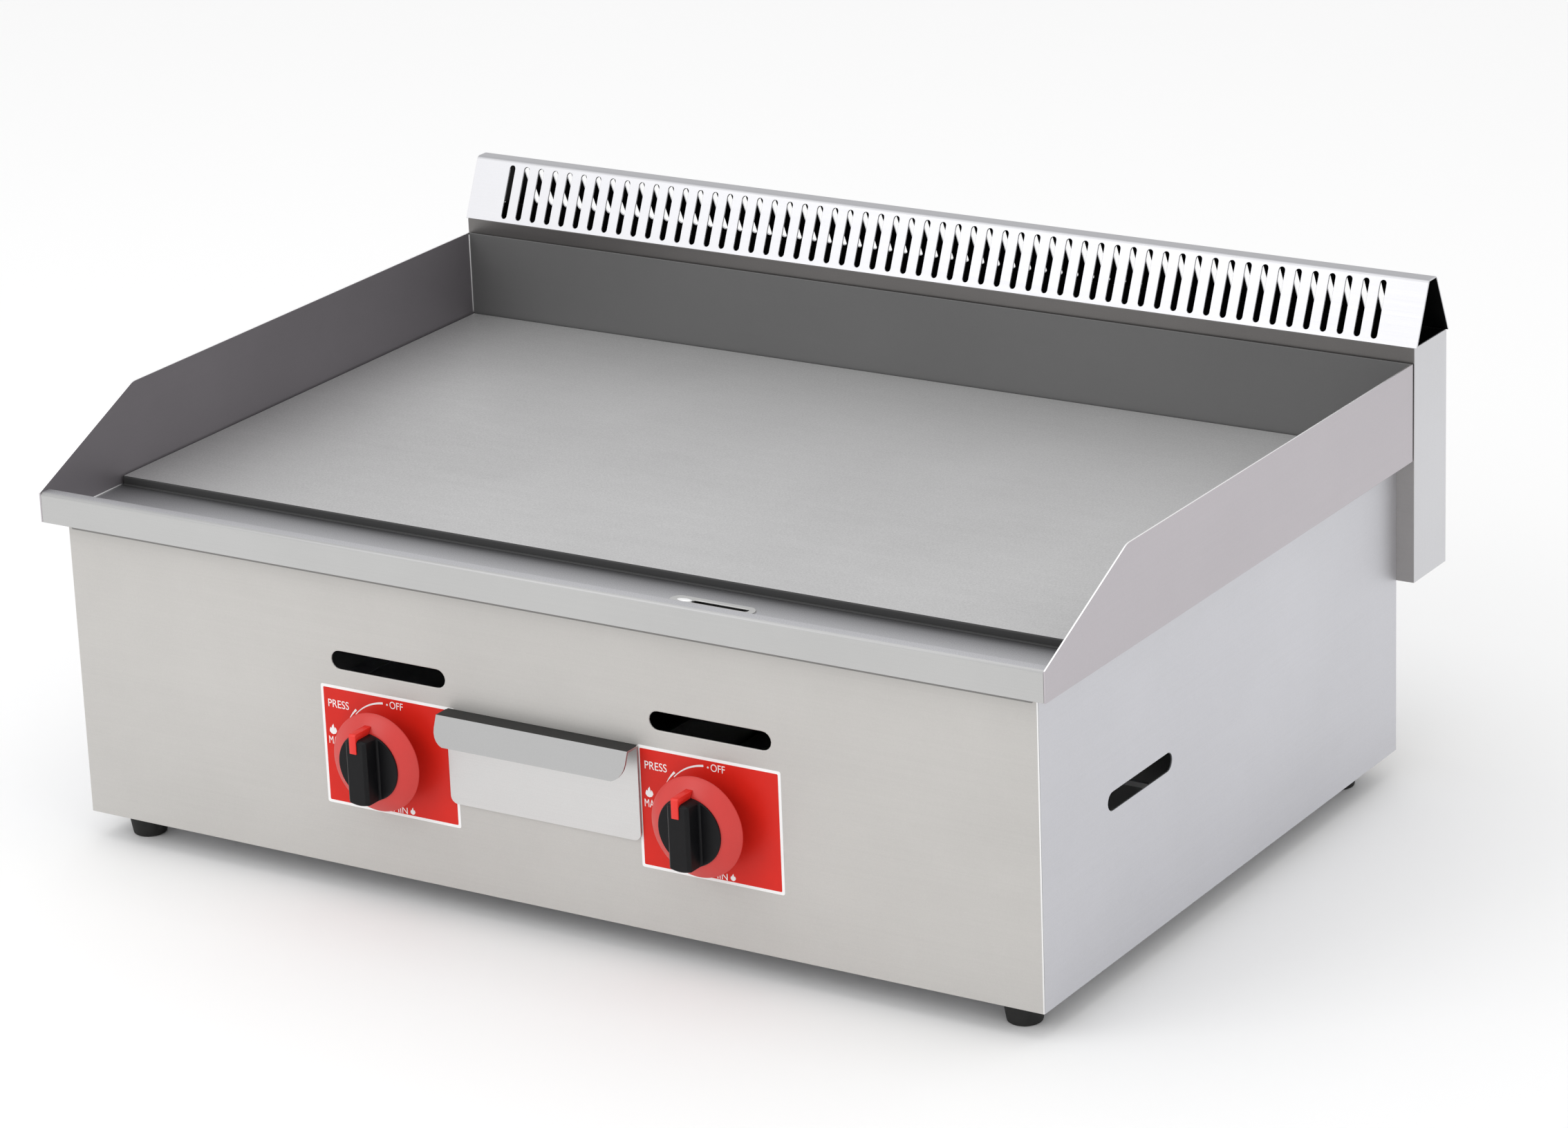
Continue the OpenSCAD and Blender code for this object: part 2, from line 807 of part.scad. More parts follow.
// Section of the grip bar, in X and Y.
function grip_profile() = [
    [-grip_half + grip_bevel, grip_front], [grip_half - grip_bevel, grip_front],
    [grip_half, grip_front + grip_bevel], [grip_half + 0.6, disc_y - 3],
    [grip_half + 2.4, disc_y - 1.4], [-grip_half - 2.4, disc_y - 1.4],
    [-grip_half - 0.6, disc_y - 3], [-grip_half, grip_front + grip_bevel]];

// Black grip: a bar with bevelled edges standing on a disc.
module knob_grip(x) {
    color(knob_black) difference() {
        union() {
            rod_y(x, axis_z, grip_r, disc_y - 1.5, disc_y, 96);
            intersection() {
                translate([x, 0, axis_z - grip_r]) linear_extrude(2 * grip_r) polygon(grip_profile());
                rod_y(x, axis_z, grip_r - 0.1, grip_front - 1, disc_y, 96);
            }
        }
        stem_socket(x, disc_y - 6, disc_y + 1);
        knob_mark(x);
    }
}

// Pointer rib: down the front of the grip, over its top end and back to the skirt's cone.
module knob_mark(x) {
    inner = grip_r - 1.8;
    cone_depth = (mark_high - grip_r) * skirt_depth / (skirt_r - disc_r);
    wall_x(x - mark_half - mark_shift, 2 * mark_half) translate([0, axis_z]) polygon([
        [mark_front, mark_low], [mark_front + mark_t, mark_low], [mark_front + mark_t, inner],
        [disc_y, inner], [disc_y, grip_r], [disc_y + cone_depth, mark_high],
        [mark_front + 1, mark_high], [mark_front, mark_high - 1]]);
}

module left_knob_grip() {
    knob_grip(left_knob_x);
}

module right_knob_grip() {
    knob_grip(right_knob_x);
}

module left_knob_indicator() {
    color([0.85, 0.1, 0.08]) knob_mark(left_knob_x);
}

module right_knob_indicator() {
    color([0.85, 0.1, 0.08]) knob_mark(right_knob_x);
}

label_half = 50.8;

// Dial sticker behind a knob.
module dial_label(x) {
    t = 0.25;
    color([0.87, 0.2, 0.16]) wall_y(panel_y - t, t) difference() {
        polygon(plate_points(x - label_half, foot_h + 41.8, x + label_half, foot_h + 121.3, 1.5, 1.5));
        translate([x, axis_z]) circle(r = 7, $fn = 48);
    }
}

module left_label() {
    dial_label(left_knob_x);
}

module right_label() {
    dial_label(right_knob_x);
}

// ---- Grease drawer ----

module drawer_tray() {
    y0 = panel_y;
    y1 = y0 + drawer_d;
    x0 = drawer_x - tray_half;
    x1 = drawer_x + tray_half;
    color(steel) difference() {
        block([x0, y0, tray_low], [x1, y1, tray_high]);
        block([x0 + sheet, y0 + sheet, tray_low + sheet], [x1 - sheet, y1 - sheet, tray_high + 1]);
    }
}

lip_gap = 10.5;
lip_drop = 18;
lip_out = 7;
front_proud = 2.4;

// Drawer front with a lip that runs forward along its top edge, then down and outward.
module drawer_front() {
    x0 = drawer_x - drawer_w / 2;
    x1 = drawer_x + drawer_w / 2;
    high = drawer_low + drawer_h;
    face = panel_y - front_proud;
    back = panel_y - 0.6;
    top = face - lip_gap;
    color(steel) {
        wall_y(face, back - face) polygon(plate_points(x0, drawer_low, x1, high, 5, 0.5));
        block([x0, top, high - sheet], [x1, face, high]);
        intersection() {
            wall_x(x0, drawer_w) polygon([
                [top, high], [top - lip_out, high - lip_drop],
                [top - lip_out + sheet, high - lip_drop - 0.4], [top + sheet, high - sheet]]);
            wall_y(top - lip_out - 1, lip_out + 4)
                polygon(plate_points(x0, high - lip_drop - 0.5, x1, high, 11, 0.01));
        }
        block([drawer_x - tray_half, back, tray_low], [drawer_x + tray_half, panel_y, tray_high]);
    }
}

// Runner: a ledge under the tray with a low guide wall, on a folded leg.
module runner() {
    y0 = manifold_y + 22;
    y1 = y0 + 230;
    x_in = tray_half - 10;
    x_out = tray_half + 2;
    ledge = tray_low - 0.3;
    color(dark_steel) {
        block([x_in, y0, ledge - 1.5], [x_out, y1, ledge]);
        block([x_out, y0, base_top], [x_out + 1.5, y1, ledge + 14]);
        block([x_out + 1.5, y0, base_top], [x_out + 14, y1, base_top + 1.5]);
    }
}

module right_drawer_runner() {
    translate([drawer_x, 0, 0]) runner();
}

module left_drawer_runner() {
    translate([drawer_x, 0, 0]) mirror([1, 0, 0]) runner();
}

// ---- Feet and fasteners ----

foot_bore = 3.2;
recess_r = 6.5;
recess_h = 8;

// Tapered rubber foot with a recess for the bolt head.
module foot(x, y) {
    color([0.1, 0.1, 0.1]) difference() {
        translate([x, y, 0]) cylinder(h = foot_h, r1 = 10.6, r2 = 14, $fn = 64);
        rod_z(x, y, foot_bore, -1, foot_h + 1);
        rod_z(x, y, recess_r, -1, recess_h);
    }
}

module front_left_foot() {
    foot(-foot_x, foot_front_y);
}

module front_right_foot() {
    foot(foot_x, foot_front_y);
}

module rear_left_foot() {
    foot(-foot_x, foot_back_y);
}

module rear_right_foot() {
    foot(foot_x, foot_back_y);
}

module at_feet() {
    for (x = [-foot_x, foot_x], y = [foot_front_y, foot_back_y]) translate([x, y, 0]) children();
}

nut_h = 5;

module foot_bolts() {
    color(zinc) at_feet() {
        rod_z(0, 0, 3, recess_h, base_top + nut_h + 3);
        rod_z(0, 0, 5, recess_h - 4, recess_h);
    }
}

module foot_nuts() {
    color(zinc) at_feet() difference() {
        rod_z(0, 0, 5.8, base_top, base_top + nut_h, 6);
        rod_z(0, 0, 3, base_top - 1, base_top + nut_h + 1);
    }
}

// Pan-head screws that hold the rear panel to the side panels.
module panel_screws() {
    color(zinc) for (side = [-1, 1], z = panel_screw_heights) {
        rod_y(side * panel_screw_x, z, 2, flue_front - 10, flue_front, 24);
        rod_y(side * panel_screw_x, z, 3.8, flue_front, flue_front + 2.4, 32);
    }
}

front_panel();
left_side_panel();
right_side_panel();
rear_panel();
base_pan();
deck_tray();
left_splash();
right_splash();
back_splash();
griddle_plate();
grease_chute();
flue_box();
flue_hood();
left_heat_shield();
right_heat_shield();
front_heat_shield();
left_burner();
right_burner();
front_burner_rail();
rear_burner_rail();
left_air_shutter();
right_air_shutter();
left_injector();
right_injector();
left_thermocouple();
right_thermocouple();
manifold_pipe();
supply_elbow();
supply_pipe();
inlet_nipple();
inlet_locknut();
left_valve_body();
right_valve_body();
left_valve_bonnet();
right_valve_bonnet();
left_valve_spring();
right_valve_spring();
left_thrust_washer();
right_thrust_washer();
left_knob_stem();
right_knob_stem();
left_knob_skirt();
right_knob_skirt();
left_knob_grip();
right_knob_grip();
left_knob_indicator();
right_knob_indicator();
left_label();
right_label();
drawer_tray();
drawer_front();
left_drawer_runner();
right_drawer_runner();
front_left_foot();
front_right_foot();
rear_left_foot();
rear_right_foot();
foot_bolts();
foot_nuts();
panel_screws();
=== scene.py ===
"""Countertop gas griddle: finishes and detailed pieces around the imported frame."""
import json
from math import acos, cos, pi, radians, sin

import bmesh
import bpy
from mathutils import Matrix, Vector

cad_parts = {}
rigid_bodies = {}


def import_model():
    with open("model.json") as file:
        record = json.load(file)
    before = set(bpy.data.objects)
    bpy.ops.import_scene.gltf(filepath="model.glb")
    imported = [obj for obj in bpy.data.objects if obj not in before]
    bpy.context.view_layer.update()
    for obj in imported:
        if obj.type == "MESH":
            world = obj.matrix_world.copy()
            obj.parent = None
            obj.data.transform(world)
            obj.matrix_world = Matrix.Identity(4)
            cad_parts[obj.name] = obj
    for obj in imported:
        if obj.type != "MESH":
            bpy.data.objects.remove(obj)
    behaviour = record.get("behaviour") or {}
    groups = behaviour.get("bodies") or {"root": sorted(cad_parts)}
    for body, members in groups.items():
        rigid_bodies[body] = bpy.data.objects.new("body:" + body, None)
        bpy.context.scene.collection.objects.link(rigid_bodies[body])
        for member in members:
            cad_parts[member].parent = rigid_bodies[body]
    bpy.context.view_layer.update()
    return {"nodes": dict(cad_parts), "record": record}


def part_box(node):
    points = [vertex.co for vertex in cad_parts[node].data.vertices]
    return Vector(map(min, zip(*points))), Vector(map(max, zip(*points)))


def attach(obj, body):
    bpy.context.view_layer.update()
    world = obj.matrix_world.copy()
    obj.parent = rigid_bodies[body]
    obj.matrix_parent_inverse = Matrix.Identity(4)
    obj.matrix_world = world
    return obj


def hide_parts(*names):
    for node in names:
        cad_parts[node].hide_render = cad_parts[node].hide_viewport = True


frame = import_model()
NODES = frame["nodes"]
MM = 0.001
UP = Vector((0, 0, 1))
DECK_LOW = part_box("deck_tray")[0]
PLATE_LOW, PLATE_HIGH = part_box("griddle_plate")
# Drawing planes: a drawing's u, v and thickness run along these columns.
ON_FRONT = Matrix(((1, 0, 0, 0), (0, 0, -1, 0), (0, 1, 0, 0), (0, 0, 0, 1)))
ON_SIDE = Matrix(((0, 0, 1, 0), (1, 0, 0, 0), (0, 1, 0, 0), (0, 0, 0, 1)))
ON_BACK = Matrix(((-1, 0, 0, 0), (0, 0, 1, 0), (0, 1, 0, 0), (0, 0, 0, 1)))


def middle(node):
    """Centre of a frame node."""
    low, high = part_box(node)
    return (low + high) / 2


# ---------------------------------------------------------------- finishes


ALONG_GRAIN, ACROSS_GRAIN = 5.0, 1100.0
PLATE_LIGHT, PLATE_DARK = (0.64, 0.64, 0.64), (0.27, 0.265, 0.27)
PLATE_METALLIC = 0.55
# Depth of the painted shade on the trough floor in front of the plate.
TROUGH_SHADE_WIDTH = 34 * MM
# Heights over which the flue front darkens: painted shade.
FLUE_SHADE_SPAN = (220 * MM, 280 * MM)


def operator(operation, swapped=False):
    """A Python operator that adds a Math node."""
    def apply(self, other):
        pair = (other, self) if swapped else (self, other)
        return self.finish.node("ShaderNodeMath", {"operation": operation}, *pair)
    return apply


class Value:
    """A shader value that varies over a surface, with arithmetic."""

    def __init__(self, finish, socket):
        self.finish = finish
        self.socket = socket

    __add__, __radd__ = operator("ADD"), operator("ADD", True)
    __sub__, __rsub__ = operator("SUBTRACT"), operator("SUBTRACT", True)
    __mul__, __rmul__ = operator("MULTIPLY"), operator("MULTIPLY", True)
    __truediv__, __pow__ = operator("DIVIDE"), operator("POWER")

    def held(self):
        """The value kept between 0 and 1."""
        return self.finish.node("ShaderNodeClamp", {}, self, 0.0, 1.0)


class Finish:
    """The nodes of one material."""

    def __init__(self, name, metallic=0.0, **sockets):
        self.material = bpy.data.materials.new(name)
        self.material.use_nodes = True
        self.tree = self.material.node_tree
        self.tree.nodes.clear()
        self.shader = self.tree.nodes.new("ShaderNodeBsdfPrincipled")
        output = self.tree.nodes.new("ShaderNodeOutputMaterial")
        self.tree.links.new(self.shader.outputs[0], output.inputs[0])
        self.place = self.tree.nodes.new("ShaderNodeTexCoord").outputs["Object"]
        self.put(self.shader.inputs["Metallic"], metallic)
        self.set(**sockets)

    def put(self, socket, value):
        """Gives a socket a number, a colour or a link."""
        if isinstance(value, Value):
            value = value.socket
        if isinstance(value, bpy.types.NodeSocket):
            self.tree.links.new(value, socket)
        elif socket.type == "RGBA":
            socket.default_value = (*value, 1.0)
        else:
            socket.default_value = value

    def set(self, **sockets):
        """Sets the shader's sockets; Base_Color stands for Base Color."""
        for name, value in sockets.items():
            self.put(self.shader.inputs[name.replace("_", " ")], value)
        return self.material

    def node(self, kind, settings, *values, out=0, **named):
        """Adds a node: its settings first, then its sockets in order or by name."""
        made = self.tree.nodes.new(kind)
        for name, value in settings.items():
            setattr(made, name, value)
        for socket, value in zip(made.inputs, values):
            self.put(socket, value)
        for name, value in named.items():
            found = [s for s in made.inputs if name in (s.identifier, s.name.replace(" ", "_"))]
            self.put(found[0], value)
        return Value(self, made.outputs[out])

    def stretched(self, x, y, z):
        """Object coordinates scaled along each axis."""
        return self.node("ShaderNodeMapping", {}, self.place, Scale=(x, y, z))

    def noise(self, scale, detail=3.0, roughness=0.5, place=None):
        """Soft noise from 0 to 1."""
        return self.node("ShaderNodeTexNoise", {}, Vector=place or self.place, Scale=scale,
                         Detail=detail, Roughness=roughness)

    def axis(self, name):
        """One coordinate of the surface point, in metres."""
        return self.node("ShaderNodeSeparateXYZ", {}, self.place, out="XYZ".index(name))

    def blend(self, factor, first, second):
        """Mixes two colours."""
        return self.node("ShaderNodeMix", {"data_type": "RGBA"}, out=2, Factor_Float=factor,
                         A_Color=first, B_Color=second)

    def bump(self, height, strength, distance):
        """Normal raised by a height."""
        return self.node("ShaderNodeBump", {}, Height=height, Strength=strength,
                         Distance=distance)


def shade(colour, factor):
    """A colour made lighter or darker."""
    return tuple(min(1.0, part * factor) for part in colour)


def brushed_steel(name, colour, roughness, along="X", mottle=0.07, streak=0.05, fade=None,
                  metallic=1.0, speckle_depth=0.05):
    """Stainless sheet, finely brushed along one axis, with faint clouds.

    fade is (axis, start, end, factor): a painted shade, the tone reaches factor at the end of
    that stretch."""
    finish = Finish(name, metallic)
    stretch = (ALONG_GRAIN if axis == along else ACROSS_GRAIN for axis in "XYZ")
    grain = finish.noise(1.0, 4.0, 0.65, finish.stretched(*stretch))
    cloud = finish.noise(6.0, 5.0, 0.62)
    speckle = finish.noise(1500.0, 2.0)
    spread = mottle + streak + speckle_depth
    light = ((cloud - 0.5) * 2.2 * mottle + (grain - 0.5) * 2.0 * streak
             + (speckle - 0.5) * speckle_depth * 2) / spread * 0.5 + 0.5
    tone = finish.blend(light.held(), shade(colour, 1 - spread), shade(colour, 1 + spread))
    if fade:
        axis, start, end, factor = fade
        reach = ((finish.axis(axis) - start) / (end - start)).held()
        tone = finish.node("ShaderNodeMix", {"data_type": "RGBA", "blend_type": "MULTIPLY"},
                           out=2, Factor_Float=reach, A_Color=tone, B_Color=(factor,) * 3)
    return finish.set(Base_Color=tone,
                      Roughness=roughness + (grain - 0.5) * 0.12 + (cloud - 0.5) * 0.06,
                      Normal=finish.bump(grain * 0.6 + speckle * 0.4, 0.06, 0.0002))


def ground_plate():
    """Ground steel plate: fine speckle, with painted shade towards the left and painted light
    towards the back.
    """
    finish = Finish("ground_plate", PLATE_METALLIC)
    depth = (finish.axis("Y") - PLATE_LOW.y) / (PLATE_HIGH.y - PLATE_LOW.y)
    across = (PLATE_HIGH.x - finish.axis("X")) / (PLATE_HIGH.x - PLATE_LOW.x)
    cloud = finish.noise(5.0, 4.0, 0.6)
    rub = finish.noise(1.0, 5.0, 0.7, finish.stretched(9.0, 70.0, 9.0))
    speckle = finish.noise(900.0, 3.0, 0.6)
    # Painted shade: darker towards the left wall; painted light: lighter towards the back.
    shaded = across.held() ** 4.0 * 0.22 - depth.held() ** 3.0 * 0.22 + 0.38
    wear_and_painted_shade = (shaded + (cloud - 0.5) * 0.35 + (speckle - 0.5) * 0.65 + (rub - 0.5) * 0.14).held()
    return finish.set(Base_Color=finish.blend(wear_and_painted_shade, PLATE_LIGHT, PLATE_DARK),
                      Roughness=0.44 + (speckle - 0.5) * 0.2 + (rub - 0.5) * 0.1,
                      Normal=finish.bump(speckle * 0.7 + rub * 0.3, 0.12, 0.0003))


def speckled(name, dark, light, roughness, metallic=0.0, grain=600.0, cloud=20.0, bump=0.15,
             **sockets):
    """A skin whose tone drifts between two colours over clouds and fine grain."""
    finish = Finish(name, metallic, **sockets)
    fine = finish.noise(grain, 3.0, 0.6)
    soft = finish.noise(cloud, 4.0, 0.6)
    return finish.set(Base_Color=finish.blend(soft * 0.6 + fine * 0.4, dark, light),
                      Roughness=roughness + (fine - 0.5) * 0.12 + (soft - 0.5) * 0.12,
                      Normal=finish.bump(fine, bump, 0.0003))


def moulded(name, colour, roughness, texture=0.2, **sockets):
    """Moulded plastic with a fine even texture."""
    return speckled(name, shade(colour, 0.88), shade(colour, 1.12), roughness, grain=1800.0,
                    cloud=60.0, bump=texture, **sockets)


def machined(name, colour):
    """Turned metal with fine tool marks."""
    finish = Finish(name, 1.0)
    marks = finish.noise(1.0, 2.0, 0.5, finish.stretched(60.0, 2600.0, 60.0))
    cloud = finish.noise(40.0, 3.0, 0.6)
    return finish.set(Base_Color=finish.blend(cloud, shade(colour, 0.82), shade(colour, 1.1)),
                      Roughness=0.3 + (cloud - 0.5) * 0.2,
                      Normal=finish.bump(marks, 0.1, 0.0002))


CABINET_STEEL = brushed_steel("cabinet_steel", (0.54, 0.526, 0.506), 0.48,
                              mottle=0.10, metallic=0.4)
SIDE_STEEL = brushed_steel("side_steel", (0.64, 0.64, 0.67), 0.50, along="Y")
DECK_STEEL = brushed_steel("deck_steel", (0.52, 0.52, 0.515), 0.42)
# Trough floor and rim top, darker towards the plate's foot: painted shade.
TROUGH_STEEL = brushed_steel("trough_steel", (0.50, 0.50, 0.52), 0.52, speckle_depth=0.35,
                             fade=("Y", PLATE_LOW.y - TROUGH_SHADE_WIDTH, PLATE_LOW.y, 0.36))
SPLASH_OUTER = brushed_steel("splash_outer_steel", (0.53, 0.50, 0.525), 0.42, along="Y")
# Darker copy of the splash steel for the side splashes' inner faces: painted shade.
SPLASH_INNER_SHADED = brushed_steel("splash_inner_steel", (0.225, 0.21, 0.225), 0.5, along="Y",
                             mottle=0.12, metallic=0.6)
# Darker copy of the splash steel for the back splash's front face and top: painted shade.
BACK_INNER_SHADED = brushed_steel("back_inner_steel", (0.15, 0.15, 0.15), 0.6, mottle=0.1,
                           metallic=0.4)
# Near-white steel on edges and bevels: a painted highlight.
EDGE_HIGHLIGHT = brushed_steel("polished_edge_steel", (0.97, 0.97, 0.97), 0.3, mottle=0.02)
FLUE_STEEL = brushed_steel("flue_steel", (0.65, 0.65, 0.67), 0.40, along="Z")
# Darker copy of the flue steel for the flue box's front face, darker still towards the top:
# painted shade.
FLUE_FRONT_SHADED = brushed_steel("flue_front_steel", (0.42, 0.405, 0.395), 0.44, mottle=0.12,
                           fade=("Z", *FLUE_SHADE_SPAN, 0.45))
HOOD_STEEL = brushed_steel("hood_steel", (0.60, 0.60, 0.62), 0.42, mottle=0.04)
# Darker copy of the hood steel for its level top: painted shade.
HOOD_TOP_SHADED = brushed_steel("hood_top_steel", (0.45, 0.45, 0.47), 0.42, mottle=0.04)
# Near-black steel inside the flue box and on the hood's undersides: painted shade.
INSIDE_SHADE = brushed_steel("sooted_steel", (0.012, 0.012, 0.012), 0.60)
DRAWER_STEEL = brushed_steel("drawer_steel", (0.67, 0.665, 0.66), 0.42)
# Darker copies of the drawer steel for the lip and, near-black, for the lip's top: painted
# shade.
LIP_SHADED = brushed_steel("drawer_lip_steel", (0.46, 0.46, 0.46), 0.60)
LIP_TOP_SHADE = brushed_steel("drawer_top_steel", (0.045, 0.045, 0.045), 0.5)
# Darker copy of the deck steel on the tray's bends, keeping them from lighting up: painted
# shade.
RIM_BEND_SHADED = brushed_steel("rim_bend_steel", (0.46, 0.46, 0.46), 0.5)
REAR_STEEL = brushed_steel("rear_steel", (0.50, 0.50, 0.51), 0.46, along="Z", mottle=0.14)
SHIELD_STEEL = brushed_steel("shield_steel", (0.26, 0.26, 0.26), 0.52, mottle=0.16)
WELD_STEEL = brushed_steel("weld_bead_steel", (0.80, 0.80, 0.80), 0.34, mottle=0.18)
GROUND = ground_plate()
# Dark plate edge; on the seam at the plate's foot it is a painted contact shadow.
DARK_EDGE_AND_SHADOW = speckled("blackened_edge", (0.055, 0.055, 0.056), (0.068, 0.068, 0.068), 0.65,
                     Specular_IOR_Level=0.15)
# Grey strip under the rim: a painted shadow line.
RIM_SHADOW = speckled("grey_sealant", (0.22, 0.217, 0.21), (0.27, 0.265, 0.255), 0.6)
SKIRT_RED = moulded("skirt_red", (0.62, 0.036, 0.030), 0.40, texture=0.12)
GRIP_BLACK = moulded("grip_black", (0.004, 0.004, 0.005), 0.40, texture=0.25,
                     Specular_IOR_Level=0.2)
POINTER_RED = moulded("pointer_red", (0.78, 0.020, 0.012), 0.35, texture=0.1)
FILM_RED = moulded("film_red", (0.66, 0.016, 0.008), 0.42, texture=0.05,
                   Specular_IOR_Level=0.25)
FILM_WHITE = moulded("film_white", (0.90, 0.90, 0.90), 0.42, texture=0.05,
                     Specular_IOR_Level=0.3)
RUBBER = speckled("black_rubber", (0.010, 0.010, 0.010), (0.030, 0.030, 0.029), 0.72,
                  grain=700.0, cloud=160.0, bump=0.2, Specular_IOR_Level=0.3)
HOT_TUBE = speckled("heated_tube", (0.08, 0.075, 0.075), (0.26, 0.22, 0.19), 0.5, 1.0)
COPPER = machined("copper_drawn", (0.62, 0.30, 0.18))
BRASS = machined("brass_turned", (0.66, 0.46, 0.17))
ZINC = machined("zinc_plated", (0.55, 0.56, 0.57))


# ---------------------------------------------------------------- making pieces


SMOOTH_ANGLE = radians(32.0)
BROAD_FACE = 6 * MM


def finish_piece(name, bm, body, slot, *finishes, replaces=()):
    """Turns a bmesh into a piece that rides on a body; only its broad faces stay flat."""
    for edge in bm.edges:
        edge.smooth = edge.calc_face_angle(pi) < SMOOTH_ANGLE
    for face in bm.faces:
        longest = max(edge.calc_length() for edge in face.edges)
        face.smooth = face.calc_area() < longest * BROAD_FACE
    mesh = bpy.data.meshes.new(name)
    bm.to_mesh(mesh)
    bm.free()
    for finish in finishes:
        mesh.materials.append(finish)
    piece = bpy.data.objects.new(name, mesh)
    bpy.context.scene.collection.objects.link(piece)
    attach(piece, body)
    if replaces:
        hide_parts(*replaces)


def ease(bm, width, segments=2, angle=28.0):
    """Rounds the sharp edges."""
    edges = [edge for edge in bm.edges if edge.calc_face_angle(0.0) > radians(angle)]
    bmesh.ops.bevel(bm, geom=edges, offset=width, offset_type="OFFSET", segments=segments,
                    profile=0.5, affect="EDGES", clamp_overlap=True, material=-1)


def merged_copy(node):
    """A frame node's shape with its triangles merged into flat faces."""
    bm = bmesh.new()
    bm.from_mesh(NODES[node].data)
    for face in bm.faces:
        face.material_index = 0
    bmesh.ops.remove_doubles(bm, verts=bm.verts[:], dist=2e-6)
    bmesh.ops.dissolve_limit(bm, angle_limit=radians(0.6), verts=bm.verts[:], edges=bm.edges[:])
    return bm


def folded_sheet(node, name, body, slot, *finishes, width=0.4 * MM, segments=2, pick=None):
    """A sheet-metal node with rounded edges; pick(face) chooses among the finishes."""
    bm = merged_copy(node)
    ease(bm, width, segments)
    if pick:
        for face in bm.faces:
            face.material_index = int(pick(face))
    finish_piece(name, bm, body, slot, *finishes, replaces=(node,))


def turned(profile, place, steps=64):
    """Spins a profile of (radius, height) about the upright axis, then puts it in place."""
    bm = bmesh.new()
    verts = [bm.verts.new((radius, 0, height)) for radius, height in profile]
    edges = [bm.edges.new(pair) for pair in zip(verts, verts[1:])]
    bmesh.ops.spin(bm, geom=verts + edges, cent=(0, 0, 0), axis=UP, angle=2 * pi, steps=steps,
                   use_merge=True, use_duplicate=False)
    bmesh.ops.remove_doubles(bm, verts=bm.verts[:], dist=1e-6)
    bmesh.ops.recalc_face_normals(bm, faces=bm.faces[:])
    bmesh.ops.transform(bm, matrix=place, verts=bm.verts[:])
    return bm


def in_metres(profile):
    """A profile drawn in millimetres, in metres."""
    return [(radius * MM, height * MM) for radius, height in profile]


def plate(loops, thickness, place):
    """A flat plate: an outline with holes, given thickness and put in place."""
    bm = bmesh.new()
    for loop in loops:
        verts = [bm.verts.new((*point, 0)) for point in loop]
        for pair in zip(verts, verts[1:] + verts[:1]):
            bm.edges.new(pair)
    bmesh.ops.triangle_fill(bm, use_beauty=True, use_dissolve=False, edges=bm.edges[:])
    return thickened(bm, thickness, place)


def thickened(bm, thickness, place):
    """Gives flat faces a thickness and puts them in place."""
    made = bmesh.ops.extrude_face_region(bm, geom=bm.faces[:])["geom"]
    bmesh.ops.translate(bm, vec=(0, 0, thickness),
                        verts=[item for item in made if isinstance(item, bmesh.types.BMVert)])
    bmesh.ops.dissolve_limit(bm, angle_limit=radians(0.5), verts=bm.verts[:], edges=bm.edges[:])
    bmesh.ops.recalc_face_normals(bm, faces=bm.faces[:])
    bmesh.ops.transform(bm, matrix=place, verts=bm.verts[:])
    return bm


def lofted(rings):
    """Skins closed rings of points and caps both ends."""
    bm = bmesh.new()
    loops = []
    for outline in rings:
        verts = [bm.verts.new(point) for point in outline]
        loops.append([bm.edges.new(pair) for pair in zip(verts, verts[1:] + verts[:1])])
    for pair in zip(loops, loops[1:]):
        bmesh.ops.bridge_loops(bm, edges=pair[0] + pair[1])
    for loop in (loops[0], loops[-1]):
        bmesh.ops.contextual_create(bm, geom=loop)
    bmesh.ops.recalc_face_normals(bm, faces=bm.faces[:])
    return bm


def joined(*parts):
    """Several bmeshes as one."""
    whole = bmesh.new()
    for part in parts:
        mesh = bpy.data.meshes.new("part")
        part.to_mesh(mesh)
        part.free()
        whole.from_mesh(mesh)
        bpy.data.meshes.remove(mesh)
    return whole


def ring(radius, centre=(0, 0), count=48, turn=0.0):
    """Points of a circle or a regular polygon."""
    return [(centre[0] + radius * cos(turn + 2 * pi * i / count),
             centre[1] + radius * sin(turn + 2 * pi * i / count)) for i in range(count)]


def rounded_box(low, high, radius, steps=5):
    """Outline of a rectangle with round corners."""
    corners = ((high[0], high[1]), (low[0], high[1]), (low[0], low[1]), (high[0], low[1]))
    points = []
    for quarter, (x, y) in enumerate(corners):
        cx = x - radius if x == high[0] else x + radius
        cy = y - radius if y == high[1] else y + radius
        for i in range(steps + 1):
            angle = (quarter + i / steps) * pi / 2
            points.append((cx + radius * cos(angle), cy + radius * sin(angle)))
    return points


def bead(start, end, radius):
    """A straight weld bead with domed ends."""
    along = end - start
    profile = [(0, 0), (radius * 0.7, radius * 0.3), (radius, radius),
               (radius, along.length - radius), (radius * 0.7, along.length - radius * 0.3),
               (0, along.length)]
    turn = UP.rotation_difference(along.normalized()).to_matrix().to_4x4()
    return turned(profile, Matrix.Translation(start) @ turn, 10)


# ---------------------------------------------------------------- cabinet and deck


WELD_RADIUS, SEAM_RADIUS = 0.7 * MM, 1.1 * MM


